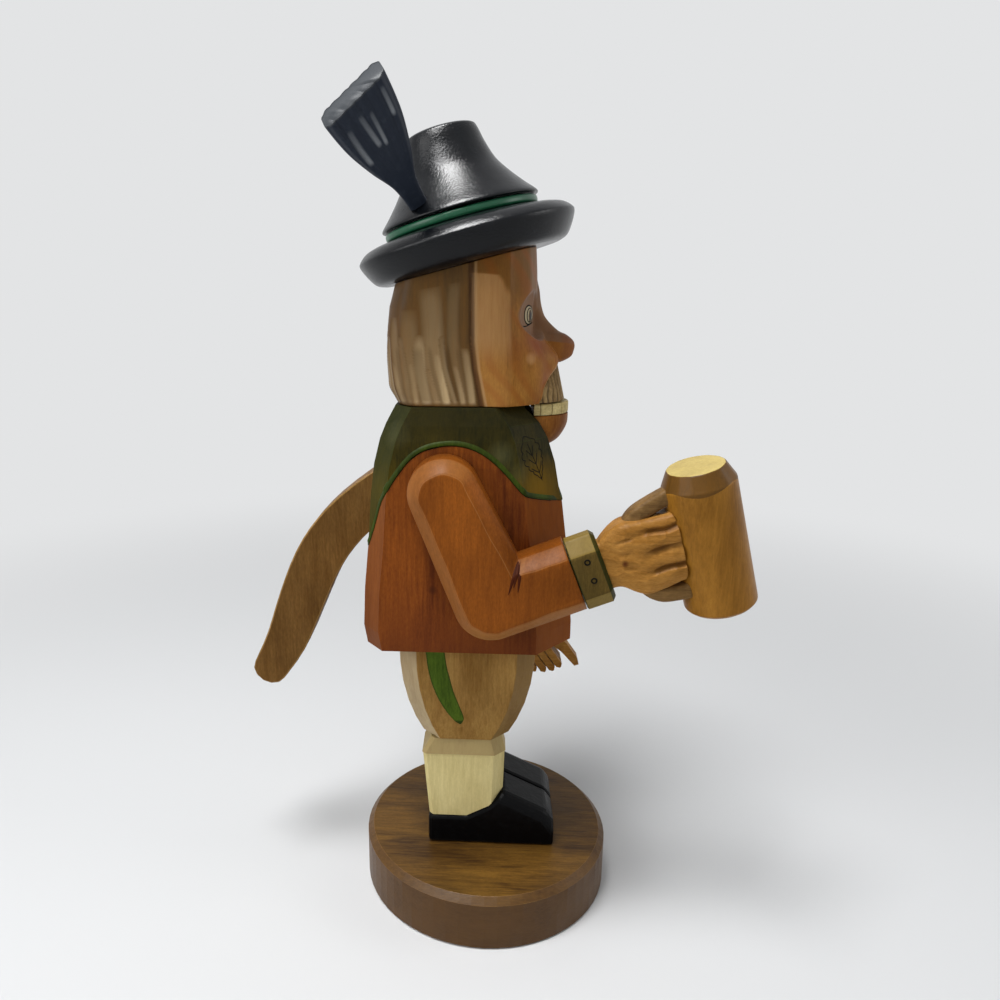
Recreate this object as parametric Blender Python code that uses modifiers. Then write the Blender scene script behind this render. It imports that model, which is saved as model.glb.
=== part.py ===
"""Carved wooden nutcracker: a figure with a hat and a mug on a round plinth.

Metres, +Z up. The figure faces +X and its left hand is toward +Y. The origin is
the centre of the plinth's underside. Every piece stands on the one below it, so
heights are added up from the plinth. The lever is laid out from its pivot, the
hat and its brush in the hat's frame, and each hand in the frame of its wrist.
"""
from math import cos, radians, sin, tan

import bmesh
import bpy
from mathutils import Matrix, Vector

# Clearances
SEAT_GAP = 0.0003
LEVER_CLEARANCE = 0.0005
SWEEP_CLEARANCE = 0.0015
PIN_CLEARANCE = 0.0003
DOWEL_CLEARANCE = 0.0003

# Plinth
PLINTH_RADIUS = 0.0565
PLINTH_HEIGHT = 0.0245
PLINTH_CHAMFER = 0.0027
PLINTH_LOWER_CHAMFER = 0.0008

# Shoes
SHOE_HEEL_X = -0.0260
SHOE_LENGTH = 0.0572
SHOE_WIDTH = 0.0201
SHOE_SPACING = 0.0008
HEEL_HEIGHT = 0.0134
TONGUE_HEIGHT = 0.0256
TONGUE_REACH = 0.0006
INSTEP_REACH_SHARE = 0.62
INSTEP_RISE_SHARE = 0.45
TOE_HEIGHT = 0.0148
TOE_RISE = 0.0011
TOE_CHAMFER = 0.0032

# Stockings, with the rim turned over at the top
STOCKING_BACK_X = -0.0244
STOCKING_DEPTH = 0.0315
STOCKING_INSET = 0.0012
STOCKING_HEIGHT = 0.0390
STOCKING_CHAMFER = 0.0050
STOCKING_BACK_CHAMFER = 0.0017
STOCKING_BACK_TAPER = 0.0041
STOCKING_FRONT_TAPER = 0.0011
RIM_HEIGHT = 0.0075
RIM_OVERHANG = 0.0004
RIM_TOP_INSET = 0.0011
RIM_STEP = 0.0001

# Trousers: share of the height, share of the swell from knee to waist
TROUSERS_HEIGHT = 0.0475
TROUSERS_CHAMFER = 0.0080
TROUSERS_KNEE_BACK_X = -0.0286
TROUSERS_KNEE_FRONT_X = 0.0098
TROUSERS_WAIST_BACK_X = -0.0386
TROUSERS_WAIST_FRONT_X = 0.0204
TROUSERS_KNEE_HALF_WIDTH = 0.0205
TROUSERS_WAIST_HALF_WIDTH = 0.0268
TROUSERS_SWELL = ((0.0, 0.0), (0.16, 0.34), (0.35, 0.64), (0.56, 0.86), (0.76, 0.97), (1.0, 1.0))
LEG_NOTCH_WIDTH = 0.0026
LEG_NOTCH_HEIGHT = 0.0200

# Body block, shared by the jacket and the shoulder cape
BODY_HEIGHT = 0.1012
BODY_HALF_WIDTH = 0.0334
BODY_TOP_HALF_WIDTH = 0.0284
BODY_HEM_BACK_X = -0.0514
BODY_TOP_BACK_X = -0.0386
BODY_HEM_FRONT_X = 0.0353
BODY_TOP_FRONT_X = 0.0168
BODY_BACK_CHAMFER_X = 0.0072
BODY_BACK_CHAMFER_Y = 0.0090
BODY_FRONT_CHAMFER_X = 0.0156
BODY_FRONT_CHAMFER_Y = 0.0175

# Share of the body's height, then shares of the way from hem to top: back, front, side
BODY_CURVE = (
    (0.00, 0.00, 0.00, 0.00),
    (0.08, -0.11, 0.00, 0.00),
    (0.25, -0.05, 0.08, 0.00),
    (0.43, 0.09, 0.18, 0.00),
    (0.63, 0.20, 0.33, 0.00),
    (0.77, 0.33, 0.45, 0.10),
    (0.87, 0.52, 0.57, 0.35),
    (0.93, 0.71, 0.70, 0.60),
    (1.00, 1.00, 1.00, 1.00),
)

# Lower edge of the cape: depths under the neck, heights over the hem that follow from
# them, and (x, share of the rise) along the arch
CAPE_BACK_DEPTH = 0.0587
CAPE_PEAK_DEPTH = 0.0144
CAPE_CHEST_DEPTH = 0.0361
CAPE_BACK_HEIGHT = BODY_HEIGHT - CAPE_BACK_DEPTH
CAPE_PEAK_HEIGHT = BODY_HEIGHT - CAPE_PEAK_DEPTH
CAPE_CHEST_HEIGHT = BODY_HEIGHT - CAPE_CHEST_DEPTH
CAPE_EDGE_DIP = 0.0068
ARCH_BACK = (
    (-0.0505, 0.00), (-0.0470, 0.22), (-0.0442, 0.45), (-0.0421, 0.54),
    (-0.0348, 0.82), (-0.0271, 0.95), (-0.0187, 1.00),
)
ARCH_FRONT = (
    (-0.0106, 1.00), (-0.0036, 0.87), (0.0035, 0.62), (0.0092, 0.33), (0.0134, 0.10), (0.0184, 0.00),
)

# Jaw lever, pivot and jaw
PIVOT_X = -0.0140
PIVOT_DEPTH = 0.0214
PIVOT_HEIGHT = BODY_HEIGHT - PIVOT_DEPTH
PIN_RADIUS = 0.0025
PIN_INSET = 0.0020
LEVER_THICKNESS = 0.0125
LEVER_CHAMFER = 0.0020
LEVER_END_ROUND = 0.0065
TONGUE_DROP = 0.0040
TONGUE_SLOPE_DROP = 0.0052
TONGUE_NECK_X = 0.0020
JAW_OPENING_DEG = 28.0
JAW_BACK_X = 0.0170
JAW_DEPTH = 0.0150
JAW_HALF_WIDTH = 0.0160
CHIN_HEIGHT = 0.0133
TEETH_HEIGHT = 0.0047
TEETH_THICKNESS = 0.0050

# Middle line and width of the lever from the pivot outward, measured from the pivot
LEVER_SPINE = (
    (0.0030, -0.0015, 0.0220), (-0.0180, -0.0105, 0.0220), (-0.0394, -0.0237, 0.0202),
    (-0.0530, -0.0368, 0.0207), (-0.0623, -0.0510, 0.0210), (-0.0700, -0.0690, 0.0205),
    (-0.0779, -0.0889, 0.0185), (-0.0863, -0.1035, 0.0155),
)

# Share of the chin's height, then shares of the jaw's depth and width
CHIN_LEVELS = ((0.0, 0.50, 0.72), (0.24, 0.78, 0.88), (0.62, 0.97, 0.98), (1.0, 1.0, 1.0))

# Head: heights over its base, x of the back less HEAD_BACK_X, and the front's section
HEAD_HEIGHT_AT_AXIS = 0.0540
HEAD_HALF_WIDTH = 0.0275
HEAD_BACK_X = -0.0423
HEAD_BACK_CHAMFER_X = 0.0055
HEAD_BACK_CHAMFER_Y = 0.0080
FOREHEAD_X = 0.0173
CHEEK_X = 0.0245
CHEEK_WIDTH_SHARE = 0.72
MOUTH_HEIGHT = 0.0140
MOUTH_BACK_X = 0.0040
MOUTH_HALF_WIDTH = 0.0130
MOUTH_OVERCUT = 0.0020
LIP_HEIGHT = 0.0135
LIP_DEPTH = 0.0128
LIP_SEAT_SLOPE = 0.0030
HEAD_BLANK_HEIGHT = 0.0750

# (height, back inset, share from forehead to cheek, middle's x, side's x, front's half width)
HEAD_LEVELS = (
    (0.0000, 0.0048, 0.10, 0.0145, 0.0060, 0.0140),
    (0.0025, 0.0028, 0.40, 0.0165, 0.0065, 0.0140),
    (0.0065, 0.0009, 0.62, 0.0178, 0.0065, 0.0128),
    (0.0105, 0.0005, 0.80, 0.0185, 0.0065, 0.0115),
    (0.0185, 0.0000, 1.00, 0.0180, 0.0060, 0.0090),
    (0.0265, 0.0002, 0.45, 0.0155, 0.0050, 0.0080),
    (0.0365, 0.0013, 0.08, 0.0140, 0.0045, 0.0080),
    (0.0505, 0.0029, 0.00, 0.0135, 0.0035, 0.0080),
    (0.0750, 0.0056, -0.26, 0.0115, 0.0020, 0.0080),
)

# Moustache: share of its height, then shares of its depth and width
LIP_LEVELS = ((0.0, 1.0, 1.0), (0.50, 0.98, 0.93), (0.85, 0.93, 0.80), (1.0, 0.86, 0.70))

# Nose: height over the tip, x behind the tip, share of the half width
NOSE_TIP_X = 0.0337
NOSE_TIP_HEIGHT = 0.0224
NOSE_HALF_WIDTH = 0.0066
NOSE_ROOT_DEPTH = 0.0030
NOSE_LEVELS = (
    (-0.0054, 0.0066, 0.70), (-0.0032, 0.0012, 0.96), (0.0000, 0.0000, 1.00), (0.0020, 0.0006, 0.98),
    (0.0042, 0.0030, 0.88), (0.0066, 0.0082, 0.66), (0.0100, 0.0120, 0.50), (0.0150, 0.0150, 0.40),
    (0.0215, 0.0167, 0.30),
)

# Hat, in its own frame with the axis along +Z and the brim's underside at 0
HAT_TILT_DEG = 14.6
HAT_AXIS_X = -0.0090
BRIM_RADIUS = 0.0442
BRIM_THICKNESS = 0.0158
BRIM_UNDERSIDE_RADIUS = 0.0362
BRIM_TOP_FALL = 0.0008
BAND_RADIUS = 0.0312
BAND_HEIGHT = 0.0034
BAND_THICKNESS = 0.0040
BAND_CROWN = 0.0004
CROWN_RADIUS = 0.0318
CROWN_TOP_RADIUS = 0.0146
CROWN_HEIGHT = 0.0327

# Brim's edge: (distance in from the rim, share of the thickness)
BRIM_EDGE = ((0.0026, 0.84), (0.0006, 0.70), (0.0, 0.60), (0.0018, 0.34), (0.0046, 0.09))

# Crown, from the base up: (share of its height, share of the flare)
CROWN_FLARE = ((0.037, 0.99), (0.17, 0.75), (0.33, 0.49), (0.51, 0.25), (0.73, 0.09), (0.905, 0.0))

# Crown's rounded top: (share of its height, share of the top's radius)
CROWN_ROUND = ((0.966, 0.89), (0.994, 0.55))

# Hat brush, placed in the hat frame
BRUSH_AZIMUTH_DEG = 238.9
BRUSH_ROOT_RISE = 0.0060
BRUSH_BACK_LEAN_DEG = 17.0
BRUSH_OUT_LEAN_DEG = 38.0
BRUSH_LENGTH = 0.0458
BRUSH_ROOT_WIDTH = 0.0074
BRUSH_TOP_WIDTH = 0.0262
BRUSH_TOP_SLANT = 0.0022
BRUSH_ROOT_THICKNESS = 0.0072
BRUSH_TOP_THICKNESS = 0.0125
BRUSH_CORNER_SHARE = 0.35
BRUSH_PEG_RADIUS = 0.0026
BRUSH_PEG_DEPTH = 0.0050
BRUSH_PEG_RISE = 0.0090

# Share of the brush's length, share of the flare
BRUSH_FLARE = ((0.06, 0.0), (0.24, 0.12), (0.45, 0.50), (0.66, 0.80), (0.82, 0.93), (1.0, 1.0))

# Arms, laid out in the XZ plane beside the body
SLEEVE_THICKNESS = 0.0153
SLEEVE_CHAMFER = 0.0050
SHOULDER_X = -0.0180
SHOULDER_DEPTH = 0.0311
SHOULDER_HEIGHT = BODY_HEIGHT - SHOULDER_DEPTH
SHOULDER_RADIUS = 0.0140
ELBOW_RADIUS = 0.0148
UPPER_ARM_LENGTH = 0.0484
UPPER_ARM_FLARE_DEG = 4.8
FOREARM_LENGTH = 0.0347
WRIST_HALF_HEIGHT = 0.0142
RIGHT_UPPER_ARM_DEG = -67.1
RIGHT_FOREARM_DEG = 21.6
LEFT_UPPER_ARM_DEG = -82.0
LEFT_FOREARM_DEG = -55.0
CUFF_LENGTH = 0.0120
CUFF_PROUD = 0.0006
CUFF_CHAMFER = 0.0062
CUFF_SIDE_CHAMFER = 0.0050

# Right hand: (distance from its wrist end, height) along its upper and lower edge, and
# its ends by the mug: (distance short of the mug's axis, height)
FIST_THICKNESS = 0.0150
FIST_CHAMFER = 0.0022
FIST_BLOCK_LENGTH = 0.0086
FIST_UPPER_EDGE = (
    (0.0000, 0.0100), (0.0022, 0.0115), (0.0064, 0.0138), (0.0113, 0.0150), (0.0173, 0.0136),
)
FIST_UPPER_END = (0.0173, 0.0124)
FIST_LOWER_END = (0.0188, -0.0152)
FIST_LOWER_EDGE = (
    (0.0181, -0.0160), (0.0117, -0.0161), (0.0079, -0.0141), (0.0034, -0.0103), (0.0000, -0.0095),
)

# Mug and handle, in the wrist frame of the right arm
GRIP_WIDTH = 0.0072
HANDLE_THICKNESS = 0.0080
HANDLE_ARM_HEIGHT = 0.0066
HANDLE_TOP_REACH = 0.0195
HANDLE_BOTTOM_REACH = 0.0231
HANDLE_ARM_SPREAD = 0.0020
HANDLE_INNER_ROUND = 0.0030
MUG_RADIUS = 0.0140
MUG_HEIGHT = 0.0587
MUG_TOP_RADIUS = 0.0109
MUG_RIM_CHAMFER = 0.0063
MUG_FOOT_ROUND = 0.0016
MUG_TILT_DEG = 6.2
MUG_OUT_LEAN_DEG = 5.0
MUG_AXIS_REACH = 0.0561
MUG_TOP_RISE = 0.0250

# Handle's outer corners: (distance from its back, distance in from its reach)
HANDLE_TOP_CORNER = ((0.0137, 0.0000), (0.0061, 0.0018), (0.0023, 0.0041), (0.0000, 0.0070))
HANDLE_LOW_CORNER = ((0.0000, 0.0085), (0.0027, 0.0045), (0.0068, 0.0019), (0.0137, 0.0000))

# Left hand, in the wrist frame of the left arm
PALM_LENGTH = 0.0150
PALM_TOP = 0.0085
PALM_WRIST_SHARE = 0.85
FINGER_LENGTH = 0.0150
FINGER_WIDTH = 0.0034
FINGER_GAP = 0.0005
FINGER_ROUND = 0.0013
FINGERTIP_STEPS = (0.0, -0.0004, -0.0022, -0.0050)
INDEX_FINGER_TOP = 0.0062
LEFT_HAND_THICKNESS = 0.0130
THUMB_THICKNESS_SHARE = 0.54

# Thumb: (distance from the hand's wrist end, height over the palm's upper edge)
THUMB_OUTLINE = (
    (0.0030, -0.0035), (0.0110, 0.0030), (0.0220, 0.0052), (0.0320, 0.0052),
    (0.0350, 0.0040), (0.0345, 0.0018), (0.0240, 0.0004), (0.0120, -0.0040),
)

# Dowels and screws
SHOULDER_DOWEL_RADIUS = 0.0040
SHOULDER_DOWEL_LENGTH = 0.0200
SHOULDER_DOWEL_DROP = 0.0122
WRIST_DOWEL_RADIUS = 0.0030
WRIST_DOWEL_IN_SLEEVE = 0.0110
WRIST_DOWEL_IN_HAND = 0.0065
HEAD_DOWEL_RADIUS = 0.0030
HEAD_DOWEL_X = -0.0240
HEAD_DOWEL_SPREAD = 0.0175
HEAD_DOWEL_IN_HEAD = 0.0120
HEAD_DOWEL_IN_BODY = 0.0240
WAIST_DOWEL_RADIUS = 0.0040
WAIST_DOWEL_LENGTH = 0.0260
WAIST_DOWEL_SPREAD = 0.0140
HAT_DOWEL_RADIUS = 0.0040
HAT_DOWEL_IN_HEAD = 0.0120
HAT_DOWEL_IN_CROWN = 0.0110
SCREW_RADIUS = 0.0022
SCREW_POINT_RADIUS = 0.0009
SCREW_POINT_LENGTH = 0.0055
SCREW_HEAD_RADIUS = 0.0045
SCREW_HEAD_HEIGHT = 0.0030
SCREW_RECESS = 0.0010
SCREW_IN_TROUSERS = 0.0120

# Mesh fineness, and how far cutters reach past what they cut
ROUND_STEPS = 48
PLINTH_STEPS = 64
DOWEL_SIDES = 16
JAW_STEPS = 12
SPINE_STEPS = 3
CROWN_STEPS = 2
SWEEP_STEPS = 14
SHARP_ANGLE_DEG = 30.0
CUT_MARGIN = 0.0200
FACE_TOLERANCE = 0.00001

# Heights and stations that follow from the sizes above
SHOE_BASE = PLINTH_HEIGHT + SEAT_GAP
HEEL_SEAT = SHOE_BASE + HEEL_HEIGHT
STOCKING_TOP = HEEL_SEAT + SEAT_GAP + STOCKING_HEIGHT
STOCKING_FRONT_X = STOCKING_BACK_X + STOCKING_DEPTH
LEG_X = STOCKING_BACK_X + STOCKING_DEPTH / 2
LEG_Y = SHOE_SPACING / 2 + SHOE_WIDTH / 2
TROUSERS_BASE = STOCKING_TOP + SEAT_GAP
TROUSERS_TOP = TROUSERS_BASE + TROUSERS_HEIGHT
BODY_BASE = TROUSERS_TOP + SEAT_GAP
BODY_TOP = BODY_BASE + BODY_HEIGHT
HEAD_BASE = BODY_TOP + SEAT_GAP
PIVOT_Z = BODY_BASE + PIVOT_HEIGHT
SLEEVE_INNER_Y = BODY_HALF_WIDTH + SEAT_GAP
SLEEVE_OUTER_Y = SLEEVE_INNER_Y + SLEEVE_THICKNESS
SLEEVE_CENTRE_Y = SLEEVE_INNER_Y + SLEEVE_THICKNESS / 2
SHOULDER_Z = BODY_BASE + SHOULDER_HEIGHT
SLOT_HALF_WIDTH = LEVER_THICKNESS / 2 + LEVER_CLEARANCE
POCKET_HALF_WIDTH = JAW_HALF_WIDTH + LEVER_CLEARANCE
JAW_TOP = BODY_TOP
JAW_FRONT_X = JAW_BACK_X + JAW_DEPTH
CHIN_TOP = JAW_TOP - TEETH_HEIGHT - SEAT_GAP
CHIN_BOTTOM = CHIN_TOP - CHIN_HEIGHT
LIP_SEAT_X = JAW_BACK_X - LEVER_CLEARANCE
HAND_START = SEAT_GAP * 2 + CUFF_LENGTH
GRIP_BACK = HAND_START + FIST_BLOCK_LENGTH + SEAT_GAP
HAT_TILT = radians(HAT_TILT_DEG)
BAND_BASE = BRIM_THICKNESS + SEAT_GAP
CROWN_BASE = BAND_BASE + BAND_HEIGHT + SEAT_GAP

RIGHT = -1
LEFT = 1


def clear_scene():
    """Take every object out of the open file."""
    for item in list(bpy.data.objects):
        bpy.data.objects.remove(item, do_unlink=True)


clear_scene()
PARTS = bpy.data.collections.new("wooden_nutcracker")
CUTTERS = bpy.data.collections.new("cutters")
bpy.context.scene.collection.children.link(PARTS)
bpy.context.scene.collection.children.link(CUTTERS)


def wood(name, color, roughness=0.45):
    """A Principled material for stained or painted wood."""
    material = bpy.data.materials.new(name)
    material.use_nodes = True
    shader = material.node_tree.nodes["Principled BSDF"]
    shader.inputs["Base Color"].default_value = (*color, 1.0)
    shader.inputs["Roughness"].default_value = roughness
    shader.inputs["Metallic"].default_value = 0.0
    material.diffuse_color = (*color, 1.0)
    return material


def steel(name, color):
    """A Principled material for a plain steel fastener."""
    material = wood(name, color, 0.35)
    material.node_tree.nodes["Principled BSDF"].inputs["Metallic"].default_value = 1.0
    return material


def add_part(name, mesh, material):
    """Put a mesh in the scene as a named sub-part with its material."""
    part = bpy.data.objects.new(name, mesh)
    mesh.name = name
    mesh.materials.clear()
    mesh.materials.append(material)
    PARTS.objects.link(part)
    return part


def add_cutter(name, mesh):
    """Put a mesh in the scene as a tool for cutting, left out of the model."""
    cutter = bpy.data.objects.new(name, mesh)
    cutter.hide_render = True
    cutter.display_type = "WIRE"
    CUTTERS.objects.link(cutter)
    return cutter


def boolean(part, tool, operation):
    """Add an exact Boolean modifier to a part."""
    modifier = part.modifiers.new(tool.name, "BOOLEAN")
    modifier.operation = operation
    modifier.object = tool
    modifier.solver = "EXACT"


def cut(part, *tools):
    """Cut a part with each tool."""
    for tool in tools:
        boolean(part, tool, "DIFFERENCE")


def shade_round(mesh):
    """Shade a round piece smooth, with its rims kept sharp."""
    mesh.shade_smooth()
    mesh.set_sharp_from_angle(angle=radians(SHARP_ANGLE_DEG))
    return mesh


def tidy(shape):
    """Weld, merge flat neighbours and point the faces out."""
    bmesh.ops.remove_doubles(shape, verts=shape.verts, dist=1e-6)
    bmesh.ops.dissolve_limit(
        shape, angle_limit=radians(0.5), verts=shape.verts, edges=shape.edges)
    bmesh.ops.recalc_face_normals(shape, faces=shape.faces)


def to_mesh(shape, name):
    """Turn a bmesh into a mesh and free it."""
    mesh = bpy.data.meshes.new(name)
    shape.to_mesh(mesh)
    shape.free()
    return mesh


def evaluated_mesh(holder):
    """The mesh of an object as its modifiers or its curve settings make it."""
    bpy.context.view_layer.update()
    graph = bpy.context.evaluated_depsgraph_get()
    return bpy.data.meshes.new_from_object(holder.evaluated_get(graph))


def prism(name, outline, low_y, high_y):
    """An outline in the XZ plane, made thick along Y from low_y to high_y."""
    curve = bpy.data.curves.new(name, "CURVE")
    curve.dimensions = "2D"
    curve.fill_mode = "BOTH"
    curve.extrude = (high_y - low_y) / 2
    spline = curve.splines.new("POLY")
    spline.points.add(len(outline) - 1)
    for point, (x, z) in zip(spline.points, outline):
        point.co = (x, z, 0.0, 1.0)
    spline.use_cyclic_u = True
    holder = bpy.data.objects.new(name, curve)
    PARTS.objects.link(holder)
    holder.rotation_euler = (radians(90), 0, 0)
    holder.location = (0, (low_y + high_y) / 2, 0)
    mesh = evaluated_mesh(holder)
    mesh.transform(holder.matrix_world)
    bpy.data.objects.remove(holder, do_unlink=True)
    shape = bmesh.new()
    shape.from_mesh(mesh)
    bpy.data.meshes.remove(mesh)
    tidy(shape)
    return to_mesh(shape, name)


def loft(name, rings):
    """Skin over rings of points, one ring above the other, with a cap at each end."""
    shape = bmesh.new()
    layers = [[shape.verts.new(point) for point in ring] for ring in rings]
    count = len(rings[0])
    for lower, upper in zip(layers, layers[1:]):
        for i in range(count):
            j = (i + 1) % count
            shape.faces.new((lower[i], lower[j], upper[j], upper[i]))
    shape.faces.new(list(reversed(layers[0])))
    shape.faces.new(layers[-1])
    bmesh.ops.recalc_face_normals(shape, faces=shape.faces)
    return to_mesh(shape, name)


def bevel_edges(mesh, width, chosen):
    """Chamfer the edges of a mesh whose two ends both pass the test `chosen`."""
    shape = bmesh.new()
    shape.from_mesh(mesh)
    edges = [e for e in shape.edges if all(chosen(v.co) for v in e.verts)]
    bmesh.ops.bevel(
        shape, geom=edges, offset=width, offset_type="OFFSET", segments=1,
        profile=0.5, affect="EDGES", clamp_overlap=True)
    bmesh.ops.remove_doubles(shape, verts=shape.verts, dist=1e-6)
    bmesh.ops.recalc_face_normals(shape, faces=shape.faces)
    shape.to_mesh(mesh)
    shape.free()


def turned(name, profile, material, steps=ROUND_STEPS):
    """A turned piece: (radius, height) points from top to bottom, spun about Z."""
    line = bpy.data.meshes.new(name + "_profile")
    points = [(radius, 0.0, height) for radius, height in profile]
    line.from_pydata(points, [(i, i + 1) for i in range(len(points) - 1)], [])
    holder = bpy.data.objects.new(name, line)
    PARTS.objects.link(holder)
    screw = holder.modifiers.new("turned", "SCREW")
    screw.axis = "Z"
    screw.steps = steps
    screw.render_steps = steps
    screw.use_merge_vertices = True
    screw.merge_threshold = 0.00001
    mesh = evaluated_mesh(holder)
    bpy.data.objects.remove(holder, do_unlink=True)
    bpy.data.meshes.remove(line)
    return add_part(name, shade_round(mesh), material)


def rod_mesh(name, radius, length, sides=DOWEL_SIDES):
    """A round rod about Z, centred on the origin."""
    shape = bmesh.new()
    bmesh.ops.create_cone(
        shape, cap_ends=True, segments=sides, radius1=radius, radius2=radius, depth=length)
    return shade_round(to_mesh(shape, name))


def rod_between(name, start, end, radius):
    """A rod mesh from one point to another."""
    start = Vector(start)
    end = Vector(end)
    mesh = rod_mesh(name, radius, (end - start).length)
    turn = (end - start).to_track_quat("Z", "Y").to_matrix().to_4x4()
    mesh.transform(Matrix.Translation((start + end) / 2) @ turn)
    return mesh


def dowel(name, start, end, radius, material):
    """A dowel, and the cutter for its hole, which is one clearance larger all round."""
    start = Vector(start)
    end = Vector(end)
    along = (end - start).normalized() * DOWEL_CLEARANCE
    add_part(name, rod_between(name, start, end, radius), material)
    return add_cutter(name + "_hole", rod_between(
        name + "_hole", start - along, end + along, radius + DOWEL_CLEARANCE))


def octagon(back_x, front_x, half_width, back_cut, front_cut, z):
    """A rectangle in plan with its corners cut, as one ring of a loft."""
    back_x_cut, back_y_cut = back_cut
    front_x_cut, front_y_cut = front_cut
    half = [
        (front_x, half_width - front_y_cut),
        (front_x - front_x_cut, half_width),
        (back_x + back_x_cut, half_width),
        (back_x, half_width - back_y_cut),
    ]
    ring = half + [(x, -y) for x, y in reversed(half)]
    return [(x, y, z) for x, y in ring]


def mix(low, high, share):
    """The value a given share of the way from low to high."""
    return low + (high - low) * share


def smooth_line(points, steps):
    """Points of a smooth curve through the given ones, `steps` to each stretch."""
    padded = [points[0]] + list(points) + [points[-1]]
    line = []
    for before, start, end, after in zip(padded, padded[1:], padded[2:], padded[3:]):
        for i in range(steps):
            t = i / steps
            line.append(tuple(
                s + (e - b) * t / 2 + (2 * b - 5 * s + 4 * e - a) * t * t / 2
                + (3 * s - b - 3 * e + a) * t ** 3 / 2
                for b, s, e, a in zip(before, start, end, after)))
    line.append(tuple(points[-1]))
    return line


def mirror_y(mesh):
    """Reflect a mesh in the XZ plane and keep its faces pointing out."""
    mesh.transform(Matrix.Scale(-1, 4, Vector((0, 1, 0))))
    mesh.flip_normals()


def make_plinth():
    """The round base, with a wide chamfer above and a fine one below."""
    profile = [
        (0.0, PLINTH_HEIGHT),
        (PLINTH_RADIUS - PLINTH_CHAMFER, PLINTH_HEIGHT),
        (PLINTH_RADIUS, PLINTH_HEIGHT - PLINTH_CHAMFER),
        (PLINTH_RADIUS, PLINTH_LOWER_CHAMFER),
        (PLINTH_RADIUS - PLINTH_LOWER_CHAMFER, 0.0),
        (0.0, 0.0),
    ]
    return turned("plinth", profile, wood("walnut_stain", (0.16, 0.075, 0.035)), PLINTH_STEPS)


def seat_line(lift):
    """The upper edge of the shoe where the stocking stands on it, from back to tongue."""
    tongue_x = STOCKING_FRONT_X + TONGUE_REACH
    tongue_z = SHOE_BASE + TONGUE_HEIGHT
    return [
        (SHOE_HEEL_X, HEEL_SEAT + lift),
        (LEG_X, HEEL_SEAT + lift),
        (mix(LEG_X, tongue_x, INSTEP_REACH_SHARE), mix(HEEL_SEAT, tongue_z, INSTEP_RISE_SHARE) + lift),
        (tongue_x, tongue_z + lift),
    ]


def make_shoe(side, name, material):
    """A shoe: side outline with heel seat, tongue and blunt toe."""
    toe_x = SHOE_HEEL_X + SHOE_LENGTH
    toe_z = SHOE_BASE + TOE_HEIGHT
    outline = [(SHOE_HEEL_X, SHOE_BASE)] + seat_line(0.0) + [
        (toe_x - TOE_CHAMFER, toe_z + TOE_RISE),
        (toe_x, toe_z - TOE_CHAMFER),
        (toe_x, SHOE_BASE),
    ]
    high_y = LEG_Y + SHOE_WIDTH / 2
    mesh = prism(name, outline, LEG_Y - SHOE_WIDTH / 2, high_y)
    toe_edge = toe_z - TOE_CHAMFER - FACE_TOLERANCE
    bevel_edges(mesh, TOE_CHAMFER, lambda p: (
        p.x > STOCKING_FRONT_X and p.z > toe_edge and p.y > high_y - FACE_TOLERANCE))
    if side == RIGHT:
        mirror_y(mesh)
    return add_part(name, mesh, material)


def make_stocking(side, name, material):
    """A lower leg: tapered block with a turned-over rim, cut to the shoe's seat."""
    rim_base = STOCKING_TOP - RIM_HEIGHT
    widest = SHOE_WIDTH / 2
    back_cut = (STOCKING_BACK_CHAMFER, STOCKING_BACK_CHAMFER)
    front_cut = (STOCKING_CHAMFER, STOCKING_CHAMFER)

    def ring(z, back_grow, front_grow, half_width):
        points = octagon(STOCKING_BACK_X - back_grow, STOCKING_FRONT_X + front_grow,
                         half_width, back_cut, front_cut, z)
        return [(x, y + LEG_Y, height) for x, y, height in points]

    rings = [
        ring(SHOE_BASE, 0.0, 0.0, widest - STOCKING_INSET),
        ring(rim_base, STOCKING_BACK_TAPER, STOCKING_FRONT_TAPER, widest - RIM_OVERHANG),
        ring(rim_base + RIM_STEP, STOCKING_BACK_TAPER + RIM_OVERHANG,
             STOCKING_FRONT_TAPER + RIM_OVERHANG, widest),
        ring(STOCKING_TOP, RIM_OVERHANG, -RIM_OVERHANG, widest - RIM_TOP_INSET),
    ]
    mesh = loft(name, rings)
    if side == RIGHT:
        mirror_y(mesh)
    part = add_part(name, mesh, material)
    line = seat_line(SEAT_GAP)
    floor = SHOE_BASE - CUT_MARGIN
    past_back = STOCKING_BACK_X - CUT_MARGIN
    past_front = line[-1][0] + CUT_MARGIN
    seat = [(past_back, floor), (past_back, line[0][1])] + line[1:]
    seat += [(past_front, line[-1][1]), (past_front, floor)]
    reach = LEG_Y + SHOE_WIDTH
    cut(part, add_cutter(name + "_seat", prism(name + "_seat", seat, -reach, reach)))
    return part


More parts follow.
